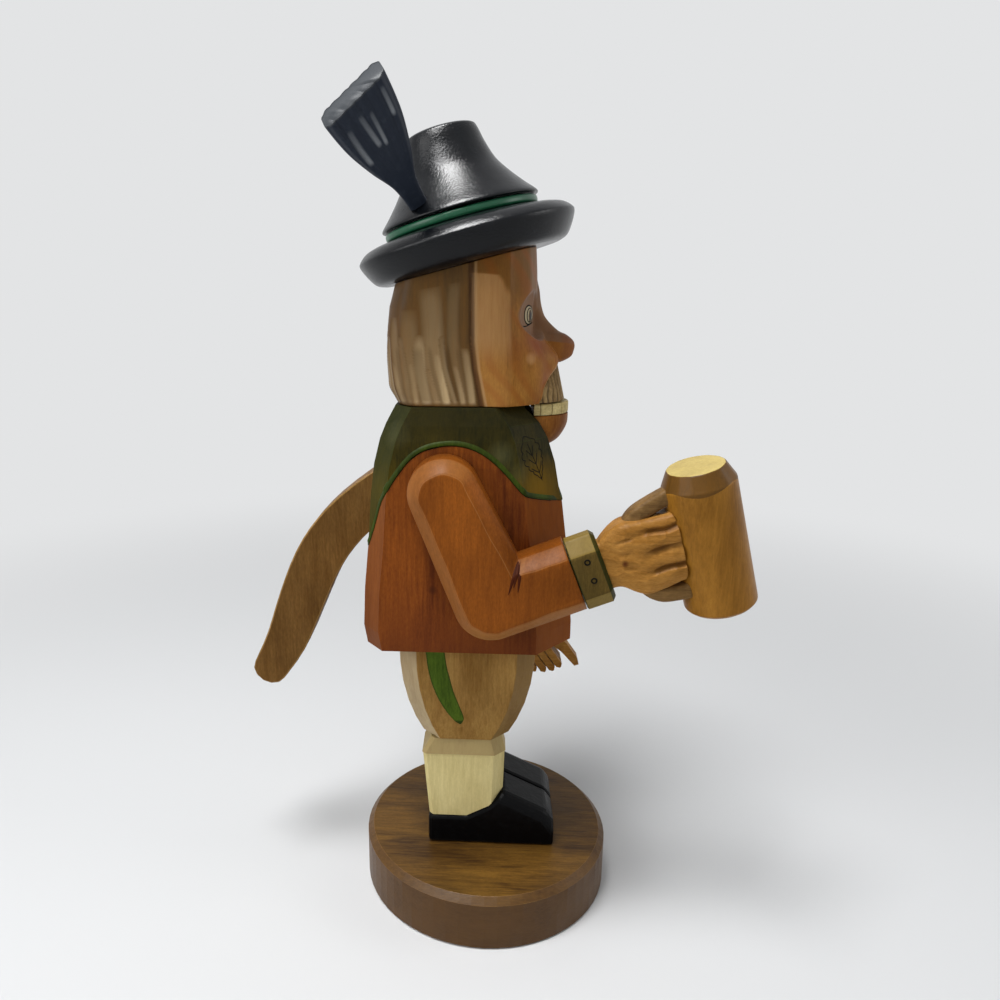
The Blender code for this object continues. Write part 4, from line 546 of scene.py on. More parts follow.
def moulding(name, path, normal, section):
    """A section carried along a path: path + u (direction x normal) + v normal, for each
    point (u, v) of the section."""
    path = np.asarray(path, float)
    normal = np.broadcast_to(np.asarray(normal, float), path.shape)
    normal = normal / np.linalg.norm(normal, axis=1, keepdims=True)
    side = np.cross(np.gradient(path, axis=0), normal)
    side /= np.linalg.norm(side, axis=1, keepdims=True)
    u, v = np.asarray(section, float).T[:, None, :, None]
    return skin(name, path[:, None] + side[:, None] * u + normal[:, None] * v)


def dark_line(name, path, radius, normal):
    """A dark line laid into the wood, for burnt lines and for the painted shadow in the cape's seam: a flat
    oval section, (radius cos a, 0.45 radius sin a).
    """
    a = circle(8)
    return moulding(name, path, normal, np.stack([radius * np.cos(a), 0.45 * radius * np.sin(a)], -1))


def leaf_point(along, aside, side):
    """A point of the leaf, mm up its midrib and mm aside of it, on the lapel."""
    up = LEAF_FOOT_Z + along * cos(LEAF_LEAN) - aside * sin(LEAF_LEAN)
    across = LEAF_FOOT_ACROSS + (along * sin(LEAF_LEAN) + aside * cos(LEAF_LEAN)) / LAPEL_WIDTH
    return lapel(across, up, side)


# Dark paint for the burnt lines, and for the painted shadow in the cape's seam.
burnt_and_seam_shade = paint("burnt_wood_and_seam_shade", "#0f0d07", 0.6, 0.05, 0.05)
t = np.linspace(0, 1, 140)
lobes = 0.78 + 0.22 * np.abs(np.sin(pi * LEAF_LOBES * t ** 0.9)) ** 0.8
lobed = LEAF_HALF_WIDTH * np.sin(pi * t ** 1.35) ** 0.75 * lobes
outline = np.concatenate([
    np.stack([t * LEAF_LENGTH, lobed], -1), np.stack([t * LEAF_LENGTH, -lobed], -1)[::-1]])
for side, sign in SIDES.items():
    facing = (0.72, sign * 0.65, 0.24)
    strokes = [outline, np.stack([np.linspace(-0.6, 15.5, 24), np.zeros(24)], -1)]
    for start in (3.0, 6.8, 10.4):
        for aside in (-1, 1):
            s = np.linspace(0, 1, 12)
            strokes.append(np.stack([start + 3.4 * s, aside * 3.9 * s ** 0.9 * (1 - start / 26)], -1))
    for i, stroke in enumerate(strokes):
        line = leaf_point(stroke[:, 0], stroke[:, 1], sign)
        settle(dark_line(f"{side}_leaf_line_{i}", line, 0.20, facing), burnt_and_seam_shade, "figure", "olive_stain")


def step(value, low, high):
    """A smooth step from 0 at low to 1 at high, s s (3 - 2 s)."""
    s = np.clip((value - low) / (high - low), 0, 1)
    return s * s * (3 - 2 * s)


# The rim is a sanded bevel, proud by 0.3 mm at the edge, over a dark line that is painted shadow in the seam
# under it.
z, back, front, half = np.array(BODY_LEVELS).T
edge = through(CAPE_EDGE, 4)
back, front, half = (np.interp(edge[:, 1], z, line) for line in (back, front, half))
behind = np.clip(1 - (edge[:, 0] - back) / BACK_CUT[0], 0, 1)
before = np.clip(1 - (front - edge[:, 0]) / FRONT_CUT[0], 0, 1)
y = half - BACK_CUT[1] * behind - FRONT_CUT[1] * before
along_side = np.stack([edge[:, 0], y, edge[:, 1]], -1)
out = np.stack([0.75 * step(before, 0, 0.06) - 0.78 * step(behind, 0, 0.12),
                1 - 0.34 * step(before, 0, 0.06) - 0.38 * step(behind, 0, 0.12), 0 * y], -1)
y = np.linspace(9.0, 23.5, 8)
behind = np.stack([0 * y - 50.3, y, 0 * y + CAPE_BACK_Z], -1)
y = np.linspace(15.0, 0.0, 8)
before = np.stack([0 * y + 29.5, y, 0 * y + CHEST_Z], -1)
path = np.concatenate([behind, along_side, before])
out = np.concatenate([0 * behind + (-1, 0, 0), out, 0 * before + (1, 0, 0)])
for side, sign in SIDES.items():
    turned_path, facing = path * (1, sign, 1), out * (1, sign, 1)
    bevel = np.array([(-0.3, -0.5), (-0.3, 0.30), (0.1, 0.34), (1.5, 0.04), (1.8, -0.5)]) * (sign, 1)
    settle(moulding(side + "_cape_rim", turned_path, facing, bevel), olive_edge, "figure", "olive_stain")
    # The dark line below the rim is painted shadow in the seam.
    line = turned_path + np.array([0, 0, -0.35])
    settle(dark_line(side + "_cape_seam_shade", line, 0.30, facing), burnt_and_seam_shade, "figure", "olive_stain")


# Jaw lever and its pin
# One board, 12.5 mm thick, from the chin back through the body and down as a curved
# handle. It is clear finished, so its own brown shows, and turns on a plain steel pin
# through the jacket.
board = stained_wood("clear_finished_alder", "#593c18", "#73532a", "Z", 12.0, 0.9, rough=0.42,
                     turned=(0, radians(-32), 0))
# The eased edges take a paler alder: wear, and a painted highlight along each edge.
board_edge = stained_wood("alder_edge", "#7c5e30", "#98774a", "Z", 8.0, 0.9)
finish_node("jaw_lever", board, board_edge, 0.5, 30)


def bare_steel(name, rough):
    """Drawn steel: streaks 0.2 mm wide in roughness and bump, drawn out along Y like the pin."""
    material, tree, place = new_finish(name)
    drawn = add(tree, "Mapping", {"Vector": place.outputs["Object"], "Scale": (1, 0.05, 1)})
    streaks = add(tree, "TexNoise", {"Vector": drawn.outputs[0], "Scale": 5000.0, "Detail": 2.0})
    gloss = add(tree, "MapRange", {
        "Value": streaks.outputs[0], "To Min": rough - 0.08, "To Max": rough + 0.12})
    bump = add(tree, "Bump", {"Height": streaks.outputs[0], "Distance": 0.02 * MM})
    plug(tree, tree.nodes["Principled BSDF"], {
        "Base Color": linear("#b9babd"), "Metallic": 1.0, "Roughness": gloss.outputs[0],
        "Normal": bump.outputs[0]})
    return material


steel = bare_steel("drawn_steel", 0.30)
finish_node("pivot_pin", steel, None, 0.2, 30)


# Chin and lower teeth
# The jaw's chin is a rounded block in red-brown stain, glued on the lever's tongue. On
# it stands a cream strip with the teeth scored in it by single knife cuts.
JAW_BACK_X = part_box("chin")[0].x / MM
JAW_HALF_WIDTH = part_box("chin")[1].y / MM
JAW_DEPTH = 15.0
TEETH_THICKNESS = 5.0
TOOTH_DEGREES = 20.0
CHIN_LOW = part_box("chin")[0].z / MM
CHIN_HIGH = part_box("chin")[1].z / MM
TEETH_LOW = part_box("lower_teeth")[0].z / MM
TEETH_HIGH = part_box("lower_teeth")[1].z / MM

# Share of the chin's height, then shares of the jaw's depth and half width
CHIN_LEVELS = ((0.0, 0.46, 0.68), (0.05, 0.55, 0.76), (0.24, 0.78, 0.88), (0.62, 0.97, 0.98),
               (0.95, 1.0, 1.0), (1.0, 0.985, 0.99))


def evenly(line, count, weight=None):
    """`count` points along a closed line at equal steps of its length, or of its length
    times a weight, so that more of them fall where the weight is high."""
    loop = np.concatenate([line, line[:1]])
    stretch = np.linalg.norm(np.diff(loop, axis=0), axis=1)
    if weight is not None:
        stretch = stretch * weight(line)
    run = np.concatenate([[0], np.cumsum(stretch)])
    at = np.linspace(0, run[-1], count, endpoint=False)
    return np.stack([np.interp(at, run, loop[:, i]) for i in range(loop.shape[1])], -1)


def half_round(back, depth, half, z, ease, count):
    """Half an ellipse in plan with a flat back, its two back corners eased."""
    a = np.radians(np.linspace(-90, 90, 33))
    arc = np.stack([back + depth * np.cos(a), half * np.sin(a)], -1)
    line = np.concatenate([arc, [[back, half * 0.9], [back, -half * 0.9]]])
    ring = evenly(eased(line, ease, 2), count)
    return np.concatenate([ring, np.full((count, 1), z)], 1)


levels = through(CHIN_LEVELS, 5)
chin = skin("chin_block", [half_round(
    JAW_BACK_X, JAW_DEPTH * deep, JAW_HALF_WIDTH * wide, CHIN_LOW + (CHIN_HIGH - CHIN_LOW) * up, 0.8, 96)
    for up, deep, wide in levels])
chin_stain = stained_wood("red_brown_stained_lime", "#744319", "#93602a", "Z", 7.0, 0.9, rough=0.40)
settle(chin, chin_stain, "jaw", "chin_stain", "chin")

# The strip's section is carried round the chin's curve, with a cut every TOOTH_DEGREES.
a = np.radians(np.linspace(-90, 90, 241))
section = eased([[0.0, TEETH_LOW], [0.0, TEETH_HIGH], [TEETH_THICKNESS, TEETH_HIGH],
                 [TEETH_THICKNESS, TEETH_LOW]], 0.7, 4)
section = evenly(section, 56)
inset, z = section[:, 0][None, :], section[:, 1][None, :]
run = np.degrees(a)[:, None]
score = np.abs((run / TOOTH_DEGREES + 0.5) % 1.0 - 0.5) * TOOTH_DEGREES
score = np.clip(1 - score / 1.3, 0, 1) * np.clip((TEETH_THICKNESS - inset) / 0.8, 0, 1)
inset = inset + 0.45 * score * (inset < 0.8)
z = z - 0.3 * score * (z > TEETH_HIGH - 0.9)
teeth = np.stack([JAW_BACK_X + (JAW_DEPTH - inset) * np.cos(a)[:, None],
                  (JAW_HALF_WIDTH - inset) * np.sin(a)[:, None], z + 0 * inset], -1)
tooth_wood = stained_wood("cream_stained_tooth_strip", "#a08c58", "#c6b681", "X", 4.0, 0.9,
                          rough=0.42, layers=(("score", 0.2, 0.9, "#4c3a1c", 0.9),))
settle(skin("tooth_strip", teeth, {"score": score}), tooth_wood, "jaw", "cream_paint", "lower_teeth")


# Head
# One block of honey-stained lime, flat sided, with the hair gouged in long strokes
# behind a deep groove, a scooped hollow for each eye, round cheeks and a pulled-out nose.
# The strokes and the flat sides are bleached by sanding, and the cheeks are reddened.
# Painted light and shade: the forehead is darkened as the brim's shadow, a pale spot on
# the right cheek and pale lines along the cheek's fold and the ridge before the hair
# groove are painted highlights, and the grey of the eye hollows, carried onto the nose's
# sides, is painted shade there. Faces that look back are darker.
HEAD_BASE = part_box("head")[0].z / MM
HEAD_HALF_WIDTH = 27.5
HEAD_BACK_X = -42.3
FOREHEAD_X = 17.3
CHEEK_X = 24.5
HAT_AXIS_X = -9.0
HAT_TILT = radians(14.6)
HEAD_HEIGHT_AT_AXIS = 54.0
NOSE_TIP_X = 33.7
NOSE_TIP_HEIGHT = 22.4
NOSE_HALF_WIDTH = 6.6
LIP_SEAT_X = 16.5

# The back's corners are cut off: mm along X, mm along Y, and mm along the cut
HEAD_BACK_CUT = (5.5, 8.0)
HEAD_CUT_LENGTH = 9.7

# Height, the back's inset, share from forehead to cheek, middle x, side x, front's half width
HEAD_LEVELS = through((
    (0.0, 4.8, 0.45, 16.8, 6.0, 14.0), (2.5, 2.8, 0.58, 17.6, 6.5, 14.0),
    (6.5, 0.9, 0.66, 18.2, 6.5, 12.8), (10.5, 0.5, 0.80, 18.5, 6.5, 11.5),
    (18.5, 0.0, 1.00, 18.0, 6.0, 9.0), (26.5, 0.2, 0.45, 15.5, 5.0, 8.0),
    (36.5, 1.3, 0.08, 14.0, 4.5, 8.0), (50.5, 2.9, 0.00, 13.5, 3.5, 8.0),
    (75.0, 5.6, -0.26, 11.5, 2.0, 8.0)))

# Height over the nose tip's, x behind the tip, share of the half width
NOSE_LEVELS = through((
    (-7.4, 7.6, 0.60), (-6.8, 4.9, 0.82), (-4.7, 1.3, 0.98), (-2.0, 0.2, 1.00), (0.0, 0.0, 1.00),
    (2.0, 0.9, 0.98), (4.2, 3.7, 0.90), (5.9, 7.2, 0.78), (11.0, 12.3, 0.56), (16.5, 14.4, 0.42),
    (21.5, 15.6, 0.34), (27.0, 19.0, 0.30)))

# The groove before the hair: height, x
HAIR_LINE = ((0.0, -4.3), (5.4, -5.4), (14.7, -7.3), (24.8, -8.5), (34.8, -8.6), (44.6, -8.8), (60.0, -9.0))

# Front edge of the flat temple and cheek: height, x
TEMPLE_EDGE = ((0.0, 6.8), (14.7, 7.6), (34.8, 6.2), (42.0, 5.9), (48.0, 3.2), (50.2, 1.6), (51.6, -3.0),
               (53.5, -9.5))

# Half width of the lip's seat, cut between the cheeks: height, y
LIP_SEAT = ((0.0, 15.8), (5.7, 14.5), (12.6, 8.6), (15.5, 6.0))

# A flat scoop for each eye, sloping back from the nose: x at y, and mm of x for each mm of y
EYE_PLANE_X = 15.9
EYE_PLANE_Y = 12.5
EYE_PLANE_SLOPE = 0.58

# The scoop's oval, seen from the front: y, height
SCOOP_CENTRE = (12.9, 34.3)
SCOOP_HALF = (10.6, 9.6)

# Gouge strokes in the hair: mm behind the groove, half width, height of the tip, depth, paleness
GOUGES = (
    (3.0, 1.7, 22.5, 0.55, 0.7), (6.6, 2.6, 50.0, 0.34, 0.22), (7.0, 1.4, 16.5, 0.60, 0.7),
    (10.6, 1.3, 27.5, 0.60, 0.4), (13.4, 1.9, 21.5, 0.70, 1.0), (15.2, 4.8, 49.5, 0.42, 0.45),
    (17.2, 1.2, 15.0, 0.60, 0.5), (20.4, 2.9, 27.5, 0.85, 0.9), (24.0, 4.2, 37.0, 0.50, 0.3),
    (24.8, 1.5, 18.0, 0.70, 0.6), (28.2, 1.6, 27.0, 0.60, 0.3), (31.5, 2.6, 34.0, 0.55, 0.3),
    (32.4, 1.7, 17.0, 0.60, 0.5), (36.4, 2.3, 26.5, 0.70, 0.4), (40.8, 2.4, 38.0, 0.50, 0.4),
    (45.0, 2.0, 21.0, 0.75, 0.5), (49.5, 2.4, 33.0, 0.55, 0.5), (54.0, 2.6, 25.0, 0.70, 0.5),
    (57.5, 1.8, 28.0, 0.60, 0.6))


def outward(ring):
    """Unit normals of closed rings of (x, y): the line from the point before to the point
    after, turned by a quarter."""
    ahead = np.roll(ring, -1, -2) - np.roll(ring, 1, -2)
    ahead /= np.linalg.norm(ahead, axis=-1, keepdims=True)
    return np.stack([ahead[..., 1], -ahead[..., 0]], -1)


def mound(y, h, centre, spread):
    """exp(-(dy / a)^2 - (dh / b)^2) for the distances to a centre, the same on both sides."""
    return np.exp(-((np.abs(y) - centre[0]) / spread[0]) ** 2 - ((h - centre[1]) / spread[1]) ** 2)


def head_rings(height, count):
    """The head's carved surface at given heights over its base, with its colour marks.

    Each level is a ten-cornered plan with eased corners. Cuts go in along its normal: the
    strokes, depth (1 - (s / half)^2) with a round tip, and the groove, exp(-(s / 0.8)^2).
    The nose joins it by a smooth maximum in x, and each eye scoop by a blend to a plane.
    """
    inset, cheek, middle, side, half = (np.interp(height, HEAD_LEVELS[:, 0], HEAD_LEVELS[:, i])
                                        for i in range(1, 6))
    front = FOREHEAD_X + (CHEEK_X - FOREHEAD_X) * cheek
    back = HEAD_BACK_X + inset
    wide = HEAD_HALF_WIDTH + 0 * height
    x = np.stack([front, middle, side, back + HEAD_BACK_CUT[0], back], -1)
    y = np.stack([half, wide * 0.72, wide, wide, wide - HEAD_BACK_CUT[1]], -1)
    corners = np.stack([np.concatenate([x, x[:, ::-1]], 1), np.concatenate([y, -y[:, ::-1]], 1)], -1)
    lines = eased(corners, 4.0, 6)
    plan = np.stack([evenly(line, count, lambda p: 1 + 1.6 * step(p[:, 0], 6, 14)) for line in lines])
    x, y = plan[..., 0], plan[..., 1]
    out_x, out_y = np.moveaxis(outward(plan), -1, 0)
    h = height[:, None] + 0 * x
    line = read_off(HAIR_LINE, h)
    corner = back[:, None] + HEAD_BACK_CUT[0]
    # mm behind the groove: along the side, over the cut corner and across the back
    over_cut = np.clip((HEAD_HALF_WIDTH - np.abs(y)) / HEAD_BACK_CUT[1], 0, 1)
    behind = (line - np.maximum(x, corner) + HEAD_CUT_LENGTH * over_cut
              + np.maximum(0, HEAD_HALF_WIDTH - HEAD_BACK_CUT[1] - np.abs(y)))
    s = np.where(x < line, behind, line - x)
    cut, pale, open_wood = 0 * x, 0 * x, 0 * x
    for centre, half_width, top, depth, paleness in GOUGES:
        bend = 0.6 * np.sin(h / 8 + 2 * centre) + 0.035 * (h - 12) * np.sin(centre)
        across = np.clip(1 - ((s - centre + bend) / half_width) ** 2, 0, 1)
        tip = np.sqrt(np.clip((top - h) / (1.9 * half_width), 0, 1)) * np.clip((h - 0.5) / 1.6, 0, 1)
        shade = paleness * np.clip(1.25 * across * tip, 0, 1) * (1.2 - 0.6 * h / top)
        pale = np.where(depth * across * tip > cut, shade, pale)
        cut = np.maximum(cut, depth * across * tip)
        open_wood = np.maximum(open_wood, np.clip(3 * across, 0, 1) * (half_width < 2.6))
    groove = np.exp(-(np.where(s < 0, s / 1.2, s / 0.8)) ** 2) * (np.abs(y) > 20)
    temple = step(read_off(TEMPLE_EDGE, h) - x, -1.2, 1.2) * (s < 0) * (np.abs(y) > 20)
    q = (((np.abs(y) - SCOOP_CENTRE[0]) / SCOOP_HALF[0]) ** 2
         + ((h - SCOOP_CENTRE[1]) / SCOOP_HALF[1]) ** 2)
    scoop = step(1 - q, 0, 0.35) * (x > 4)
    plane = EYE_PLANE_X - EYE_PLANE_SLOPE * np.clip(np.abs(y) - EYE_PLANE_Y, 0, None)
    plane = plane - 0.4 * np.clip(1 - q, 0, 1)
    x = x + scoop * (np.minimum(x, plane) - x)
    pad = 2.4 * mound(y, h, (8.0, 16.0), (4.0, 6.0)) * (x > 15)
    sink = cut + 0.9 * groove + 0.25 * temple * step(h, 30, 44)
    x, y = x - out_x * sink + pad, y - out_y * sink
    rise = h - NOSE_TIP_HEIGHT
    tip_x = NOSE_TIP_X - np.interp(rise, NOSE_LEVELS[:, 0], NOSE_LEVELS[:, 1])
    tip_x = tip_x - 16 * (1 - step(rise, -7.9, -7.2))
    reach = NOSE_HALF_WIDTH * np.interp(rise, NOSE_LEVELS[:, 0], NOSE_LEVELS[:, 2])
    root = FOREHEAD_X - 3.0
    nose = root + (tip_x - root) * np.sqrt(np.clip(1 - (np.abs(y) / reach) ** 2.6, 0, 1))
    nose = np.where((np.abs(y) < reach) & (x > 5), nose, root - 9)
    near = np.clip(2.8 - np.abs(nose - x), 0, None) ** 2 / 11.2
    joined = np.where(x > 5, np.maximum(x, nose) + near, x)
    lip = read_off(LIP_SEAT, h)
    x = np.where((np.abs(y) < lip) & (h < 14.9), np.minimum(joined, LIP_SEAT_X - 0.1), joined)
    fold = np.exp(-((np.abs(y) - lip - 0.7) / 0.6) ** 2) * (h < 15.5) * (x > 15)
    crest = np.exp(-((s + 2.1) / 0.8) ** 2) * (np.abs(y) > 20)
    bridge = np.clip(0.5 + (h - 25.4 + 0.12 * (x - 12.5)) / 1.2, 0, 1) * (x > 16.5) * (np.abs(y) < 9)
    blush = mound(y, h, (17.0, 23.5), (6.0, 5.0)) * (x > 5)
    low_blush = mound(y, h, (15.0, 9.0), (3.0, 7.0)) * (x > 5)
    # Marks for painted light: the brim's shadow on the forehead, highlights along the cheek's fold and the
    # ridge before the groove, and painted shade on the nose's sides with the eye hollows.
    marks = {
        "hair": step(s, -0.2, 0.3), "stroke": pale, "valley": (1 - open_wood) * step(h, 24, 20) * (s > 1),
        "groove": groove, "ridge": np.maximum(fold, 0.8 * crest),
        "flat_side": temple * (0.2 + 0.8 * step(h, 14, 28)), "tip": step(x, 26, 30),
        "mottle": step(np.sin(0.42 * h + 0.7 * x + 1.6 * np.sin(0.23 * h + 0.3 * y)), -0.4, 1.0) * (s < 0),
        "brow": step(1 - temple, 0.3, 0.7) * step(h, 34, 46) * (s < 0),
        "blush": np.maximum(blush, 0.7 * low_blush),
        "hollow": np.maximum(np.clip(0.5 + 2 * (1 - q), 0, 1) * (x > 4) * (np.abs(y) > 2.5), bridge)}
    return np.stack([x, y, HEAD_BASE + h], -1), marks


def front_middle(ring):
    """Index of a ring's point that lies in the middle of the front."""
    return int(np.argmin(np.abs(ring[:, 1]) + 99 * (ring[:, 0] < 10)))


COLS = 430
CARVED_HEIGHT = 58.0
SLANT_FROM = 38.0
share = np.linspace(0, 1, 190) ** 0.97
rings, marks = head_rings(share * CARVED_HEIGHT, COLS)
# The top follows the hat's slant: over SLANT_FROM each point slides along its own upright,
# and the uppermost ones come to lie in that plane.
top = HEAD_HEIGHT_AT_AXIS + (rings[..., 0] - HAT_AXIS_X) * tan(HAT_TILT)
over = rings[..., 2] - HEAD_BASE
slid = SLANT_FROM + (over - SLANT_FROM) / (CARVED_HEIGHT - SLANT_FROM) * (top - SLANT_FROM)
rings[..., 2] = HEAD_BASE + np.where(over > SLANT_FROM, slid, over)

# Under the base the surface turns in and up, round the hollow of the mouth.
MOUTH_BACK_X = 4.0
MOUTH_FRONT_X = 15.6
MOUTH_HALF_WIDTH = 12.9
MOUTH_DEPTH = 14.0
square = [[MOUTH_FRONT_X, MOUTH_HALF_WIDTH], [MOUTH_BACK_X, MOUTH_HALF_WIDTH],
          [MOUTH_BACK_X, -MOUTH_HALF_WIDTH], [MOUTH_FRONT_X, -MOUTH_HALF_WIDTH]]
square = evenly(eased(square, 1.5, 3), COLS)
square = np.roll(square, front_middle(rings[0]) - front_middle(square), 0)
mouth = [np.concatenate([square, np.full((COLS, 1), HEAD_BASE + z)], 1) for z in (MOUTH_DEPTH, 0.0)]
rings = np.concatenate([mouth, rings])
marks = {key: np.concatenate([value[:1] * 0, value[:1] * 0, value]) for key, value in marks.items()}
# Painted light and shade among these layers: the forehead darkened as the brim's shadow, the pale spot on
# the right cheek as a painted highlight, the pale lines along the fold and before the hair groove as painted
# highlights, and the grey on the nose's sides as painted shade.
head_wood = stained_wood(
    "honey_stained_lime", "#7c4d18", "#a06c2b", "Z", 12.0, 0.9, rough=0.40, shine=0.12, carve=0.14,
    layers=(("brow", 0.0, 1.0, "#64431a", 0.80), ("mottle", 0.0, 1.0, "#87480f", 0.45),
            ("flat_side", 0.0, 1.0, "#a87f50", 0.85),
            (("near", (0.0155, -0.0225, 0.2455)), 0.0030, 0.0014, "#b88a58", 0.7),
            ("hair", 0.2, 0.8, "#573f20", 0.95), ((-1, 0, 0), 0.0, 0.4, "#402d18", 0.6),
            ("stroke", 0.0, 1.0, "#b39a72", 0.95),
            ("valley", 0.0, 1.0, "#4a3416", 0.45), ("blush", 0.0, 1.0, "#7c3208", 0.80),
            ("hollow", 0.35, 0.65, "#745946", 0.80), ("tip", 0.0, 1.0, "#784428", 0.7),
            ("groove", 0.2, 0.9, "#3c2410", 0.85),
            ("ridge", 0.3, 0.9, "#b08c60", 0.75)))
settle(skin("carved_head", rings, marks), head_wood, "figure", "honey_stain", "head")


# Eyes
# Cut in shallow relief in each hollow: an oval of cream paint in a burnt outline, a
# dark pupil looking forward, and the lower lid as one burnt stroke.
def face_x(y, h, side):
    """x of the face at distance y from the middle and height h, row by row."""
    found = []
    for row, level in zip(np.atleast_2d(y), np.atleast_2d(h)):
        ring = head_rings(level[:1], COLS)[0][0]
        ring = ring[(ring[:, 0] > 0) & (ring[:, 1] * side > 0)]
        order = np.argsort(np.abs(ring[:, 1]))
        found.append(np.interp(row, np.abs(ring[order, 1]), ring[order, 0]))
    return np.array(found)


EYE_Y = 15.7
EYE_RISE = 34.7
EYE_HALF = (3.3, 3.9)
EYE_DOME = 0.55


def eye_patch(name, side, centre, half, lift):
    """An oval laid over the eyeball: rows of constant height, each sqrt(1 - v^2) wide, on a
    dome EYE_DOME (1 - r^2) over the face, and lifted a little over the layer below."""
    v = np.linspace(-0.985, 0.985, 19)[:, None]
    u = np.linspace(-1, 1, 25)[None, :]
    y = centre[0] + half[0] * u * np.sqrt(1 - v * v)
    h = centre[1] + half[1] * v + 0 * u
    r2 = ((y - EYE_Y) / EYE_HALF[0]) ** 2 + ((h - EYE_RISE) / EYE_HALF[1]) ** 2
    x = face_x(y, h, side) + EYE_DOME * np.clip(1 - r2, 0, 1) + lift
    front = np.stack([x, side * y, HEAD_BASE + h], -1)
    rear = front - np.array([0.8, 0, 0])
    return skin(name, np.concatenate([front, rear[:, ::-1]], 1))


eye_white = paint("cream_eye_paint", "#a8997a", 0.4, 0.2, 0.03)
eye_brown = paint("brown_eye_paint", "#4f3a20", 0.4, 0.2, 0.03)
eye_dark = paint("dark_eye_paint", "#120e0a", 0.35, 0.3, 0.03)
for side, sign in SIDES.items():
    for i, (centre, half, finish) in enumerate((
            ((EYE_Y, EYE_RISE), EYE_HALF, burnt_and_seam_shade), ((15.8, 34.7), (2.8, 3.35), eye_white),
            ((15.5, 34.6), (2.2, 2.9), burnt_and_seam_shade), ((15.5, 34.6), (1.8, 2.5), eye_white),
            ((15.5, 34.4), (1.15, 2.3), eye_brown), ((15.3, 34.3), (0.6, 1.5), eye_dark))):
        patch = eye_patch(f"{side}_eye_{i}", sign, centre, half, 0.02 + 0.06 * i)
        settle(patch, finish, "figure", "honey_stain")
    t = np.linspace(0, 1, 16)
    y, h = 22.0 - 10.5 * t, 30.6 + 1.6 * t - 0.9 * np.sin(pi * t)
    x = np.array([face_x(yy, hh, sign)[0][0] for yy, hh in zip(y, h)])
    lid = np.stack([x - 0.02, sign * y, HEAD_BASE + h], -1)
    settle(dark_line(side + "_lid_line", lid, 0.24, (0.7, sign * 0.7, 0)), burnt_and_seam_shade, "figure", "honey_stain")


# Moustache
# A half-round block glued under the nose in grey-brown stain, with the hair cut as
# V-grooves that fan out from the nose to the corners of the mouth.
LIP_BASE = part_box("moustache")[0].z / MM
LIP_TOP = 242.4
LIP_FRONT_X = 30.2
LIP_TOP_X = 26.8
GLUE_GAP = 0.3
up = np.concatenate([[0.0, 0.03], np.linspace(0.08, 1.0, 30)])[:, None]
a = np.radians(np.linspace(-90, 90, 161))[None, :]
z = LIP_BASE + (LIP_TOP - LIP_BASE) * up + 0 * a
half = read_off(LIP_SEAT, z[:, :1] - HEAD_BASE) + 1.2
deep = LIP_FRONT_X + (LIP_TOP_X - LIP_FRONT_X) * up - LIP_SEAT_X - GLUE_GAP
deep = deep - 0.6 * np.clip(1 - up / 0.03, 0, 1)
fan = 8.0 * np.degrees(a) / 90 + 0.15 * np.sin(9 * up + 5 * a)
groove = np.clip(1 - np.abs((fan + 0.5) % 1.0 - 0.5) * 4.2, 0, 1) * (1 - 0.6 * up) * (np.abs(a) < 1.45)
x = LIP_SEAT_X + GLUE_GAP + (deep - 0.6 * groove) * np.cos(a) ** 0.8
y = (half - 0.6 * groove) * np.sin(a)
back = np.linspace(0.95, -0.95, 9)[None, :]
rear = np.stack([0 * back * up + LIP_SEAT_X + GLUE_GAP, half * back, z[:, :1] + 0 * back], -1)
rings = np.concatenate([np.stack([x, y, z], -1), rear], 1)
marks = {"groove": np.concatenate([groove, 0 * rear[..., 0]], 1)}
lip_wood = stained_wood("grey_brown_stained_lime", "#745b39", "#9e8459", "Z", 5.0, 0.8, rough=0.5,
                        layers=(("groove", 0.1, 0.9, "#33261a", 0.85),))
settle(skin("carved_moustache", rings, marks), lip_wood, "figure", "grey_brown_stain", "moustache")


# Hat
# Three turned pieces on the head's slanted top: a thick rolled brim and a waisted crown
# in satin black, with soft tool marks under the paint, and a round-edged green band between.
lift = GLUE_GAP / cos(HAT_TILT)
hat = (Matrix.Translation((HAT_AXIS_X, 0, HEAD_BASE + HEAD_HEIGHT_AT_AXIS + lift))
       @ Matrix.Rotation(-HAT_TILT, 4, "Y"))
BRIM_RADIUS = 44.2
BRIM_THICKNESS = 15.8
CROWN_BASE = 19.8
CROWN_HEIGHT = 32.7
CROWN_RADIUS = 31.8
CROWN_TOP_RADIUS = 14.6
CROWN_FLARE = 17.2

rim = [(BRIM_RADIUS - inset, BRIM_THICKNESS * up) for inset, up in
       ((8.0, 0.0), (4.6, 0.09), (1.8, 0.34), (0.0, 0.60), (0.6, 0.72), (3.2, 0.86), (6.5, 0.93))]
brim = np.concatenate([[(30.0, 0.0)], through(rim, 5), [(31.2, BRIM_THICKNESS), (27.0, BRIM_THICKNESS),
                                                       (27.0, CROWN_BASE - GLUE_GAP)]])
flare = [(CROWN_RADIUS, 0.0)] + [(CROWN_TOP_RADIUS + CROWN_FLARE * wide, CROWN_HEIGHT * up) for up, wide in (
    (0.037, 0.99), (0.17, 0.75), (0.33, 0.49), (0.51, 0.25), (0.73, 0.09), (0.905, 0.0))]
crown = through(flare + [(CROWN_TOP_RADIUS * wide, CROWN_HEIGHT * up) for wide, up in
                         ((0.90, 0.966), (0.55, 0.994), (0.10, 1.0))], 8)
crown[:, 1] += CROWN_BASE
band = eased([(28.0, 16.1), (30.9, 16.1), (31.3, 17.7), (30.9, 19.2), (28.0, 19.2)], 1.1, 4, closed=False)
hat_black = paint("satin_black_paint", "#07090d", 0.23, 0.22, 0.06, "#101418", 0.35, grit=0.12)
